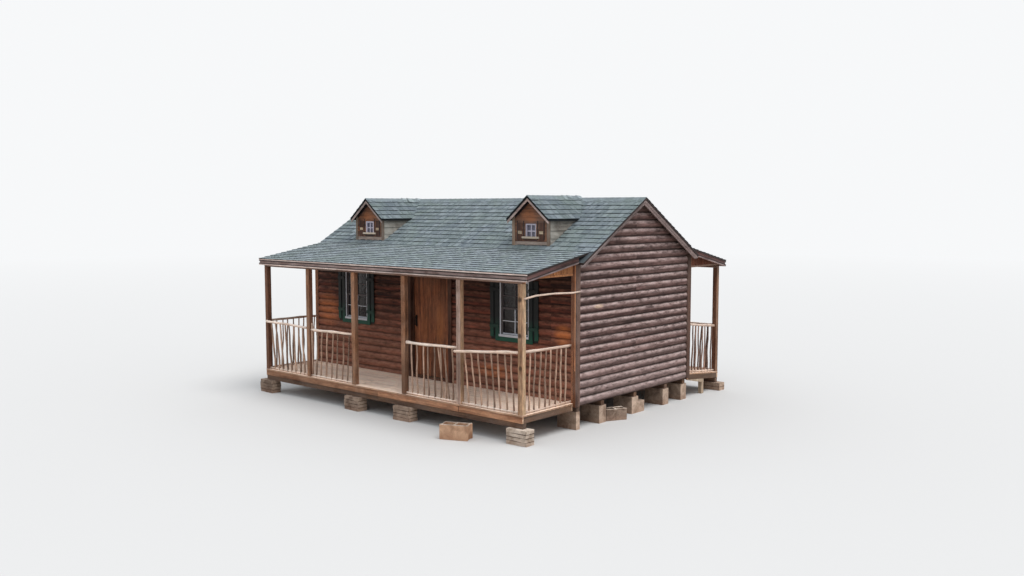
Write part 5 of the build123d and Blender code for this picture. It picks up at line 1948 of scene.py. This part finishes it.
        middle = length / 2
        stations = [-panel.lap, turn, middle, length] if panel.lap else [0.0, middle, length]
        pole(rails, [rail_at(x) for x in stations], (self.rail_radius, self.rail_radius * self.rail_taper),
             self.rail_kink)
        feet = [Vector((x, 0.0, rise * x / length + self.foot_height)) for x in (0.0, length)]
        pole(rails, feet, (self.foot_radius, self.foot_radius), self.foot_kink)
        pitch = length / (panel.sticks + 1)
        for index in range(panel.sticks):
            wave = phase + self.stick_wave * index
            foot_x = pitch * (index + 1) - panel.lean / 2 + self.wander * math.sin(wave)
            top = rail_at(foot_x + panel.lean + self.wander * math.sin(self.top_wave * wave))
            foot = Vector((foot_x, 0.0, rise * foot_x / length + self.foot_height - self.sunk))
            path = [foot, top]
            if index % 2:
                bow = self.bow * math.sin(self.bow_wave * wave)
                path = [foot, (foot + top) / 2 + Vector((bow, bow / 2, 0.0)), top]
            pole(sticks, path, tuple(panel.radius * share for share in self.stick_taper), self.stick_kink)
            if index in panel.crossed:
                start = foot_x + self.spread
                foot = Vector((start, 0.0, rise * start / length + self.foot_height))
                pole(sticks, [foot, rail_at(foot_x - self.spread)],
                     (panel.radius, panel.radius * self.crossed_taper), self.rail_kink)
        if panel.tall:
            x = 2 * panel.radius
            top = rail_at(x)
            pole(sticks, [Vector((x, 0.0, self.foot_height)),
                          Vector((x - panel.radius / 2, 0.0, top.z + panel.tall))],
                 (panel.radius * self.tall_taper, panel.radius), self.tall_kink)


@dataclass
class Branch:
    """Peeled branch between the right front post and the corner of the cabin."""

    radius: float = 0.016
    seat: float = 0.0003

    def build(self, shop: Workshop) -> None:
        """Builds the branch."""
        reach = self.radius * HEX_FLAT + self.seat
        start = CABIN.deck_half + reach
        end = CABIN.half_length + reach
        post = FRONT.y(FRONT.depth - CABIN.post / 2)
        path = [(start, post - 0.020, 2.284), (start, post + 0.040, 2.290), (start + 0.014, -1.0, 2.318),
                (start + 0.030, -0.56, 2.322), (end, -0.12, 2.304), (end, 0.095, 2.312)]
        stock = Stock("branch", 41)
        stock.pole(path, [self.radius * share for share in (1.0, 1.05, 0.95, 0.9, 0.95, 0.85)], 9)
        stock.finish(shop.palette, SIDE_RAIL, replaces=["branch_pole"])


@dataclass
class Studio:
    """Floor, light and camera, none of them part of the cabin."""

    camera_place: Point = (12.843, -14.227, 3.693)
    camera_turn: Point = (math.radians(90 - 4.83), math.radians(0.02), math.radians(40.943))
    lens: float = 33.70
    floor_tone: float = 0.56
    floor_bounce: Colour = (0.42, 0.37, 0.33)
    floor_radius: float = 160.0
    floor_fade: Span = (9.0, 60.0)
    sky: Colour = (0.94, 0.97, 1.0)
    backdrop: Colour = (0.93, 0.94, 0.95)
    horizon_light: float = 0.62
    zenith_light: float = 1.2
    key_light: float = 1.9
    key_spread: float = math.radians(34)
    key_colour: Colour = (1.0, 0.97, 0.94)
    key_turn: Point = (math.radians(25.0), 0.0, math.radians(97))

    def build(self) -> None:
        """Builds the floor, the lamps and the camera."""
        scene = bpy.context.scene
        scene.view_settings.view_transform = "Standard"
        data = bpy.data.cameras.new("camera")
        data.lens = self.lens
        data.sensor_width = 36.0
        data.clip_end = 400.0
        camera = bpy.data.objects.new("camera", data)
        camera.location = self.camera_place
        camera.rotation_euler = self.camera_turn
        scene.collection.objects.link(camera)
        scene.camera = camera
        world = bpy.data.worlds.new("studio")
        scene.world = world
        world.use_nodes = True
        graph = Graph(world.node_tree)
        world.node_tree.nodes.clear()
        path = graph.node("LightPath")
        height = graph.node("SeparateXYZ", {0: graph.node("TexCoord").outputs["Generated"]}).outputs[2]
        sky = graph.remap(height, 0.0, 0.9, self.horizon_light, self.zenith_light)
        light = graph.node("Background", {"Color": self.sky, "Strength": sky}).outputs[0]
        show = graph.node("Background", {"Color": self.backdrop, "Strength": 1.0}).outputs[0]
        both = graph.node("MixShader", {0: path.outputs["Is Camera Ray"], 1: light, 2: show})
        out = graph.node("OutputWorld")
        graph.wire(out.inputs["Surface"], both.outputs[0])
        lamp = bpy.data.lights.new("key", "SUN")
        lamp.energy = self.key_light
        lamp.angle = self.key_spread
        lamp.color = self.key_colour
        key = bpy.data.objects.new("key", lamp)
        key.rotation_euler = self.key_turn
        scene.collection.objects.link(key)
        self.floor()

    def floor(self) -> None:
        """Lays a pale floor that fades into the background far away."""
        mesh = bmesh.new()
        bmesh.ops.create_circle(mesh, cap_ends=True, segments=96, radius=self.floor_radius)
        data = bpy.data.meshes.new("floor")
        mesh.to_mesh(data)
        mesh.free()
        floor = bpy.data.objects.new("floor", data)
        bpy.context.scene.collection.objects.link(floor)
        made = bpy.data.materials.new("floor_sheet_pale")
        made.use_nodes = True
        made.node_tree.nodes.clear()
        graph = Graph(made.node_tree)
        place = graph.node("TexCoord").outputs["Object"]
        away = graph.remap(graph.length(place), *self.floor_fade)
        tone = graph.mix(graph.node("LightPath").outputs["Is Camera Ray"], self.floor_bounce,
                         (self.floor_tone, self.floor_tone, self.floor_tone))
        matte = graph.node("BsdfDiffuse", {"Color": tone}).outputs[0]
        glow = graph.node("Emission", {"Color": self.backdrop, "Strength": 1.0}).outputs[0]
        both = graph.node("MixShader", {0: away, 1: matte, 2: glow})
        out = graph.node("OutputMaterial")
        graph.wire(out.inputs["Surface"], both.outputs[0])
        data.materials.append(made)


def main() -> None:
    """Builds the cabin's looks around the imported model."""
    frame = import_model()
    shop = Workshop(Palette(), frame["nodes"])
    for part in (Base(), Walls(), Doors(), Windows(), Decks(), Railings(), Branch(), ROOF, RoofTrim(),
                 Dormers()):
        part.build(shop)
        log.info("built %s", type(part).__name__)
    Studio().build()


if __name__ == "__main__":
    main()
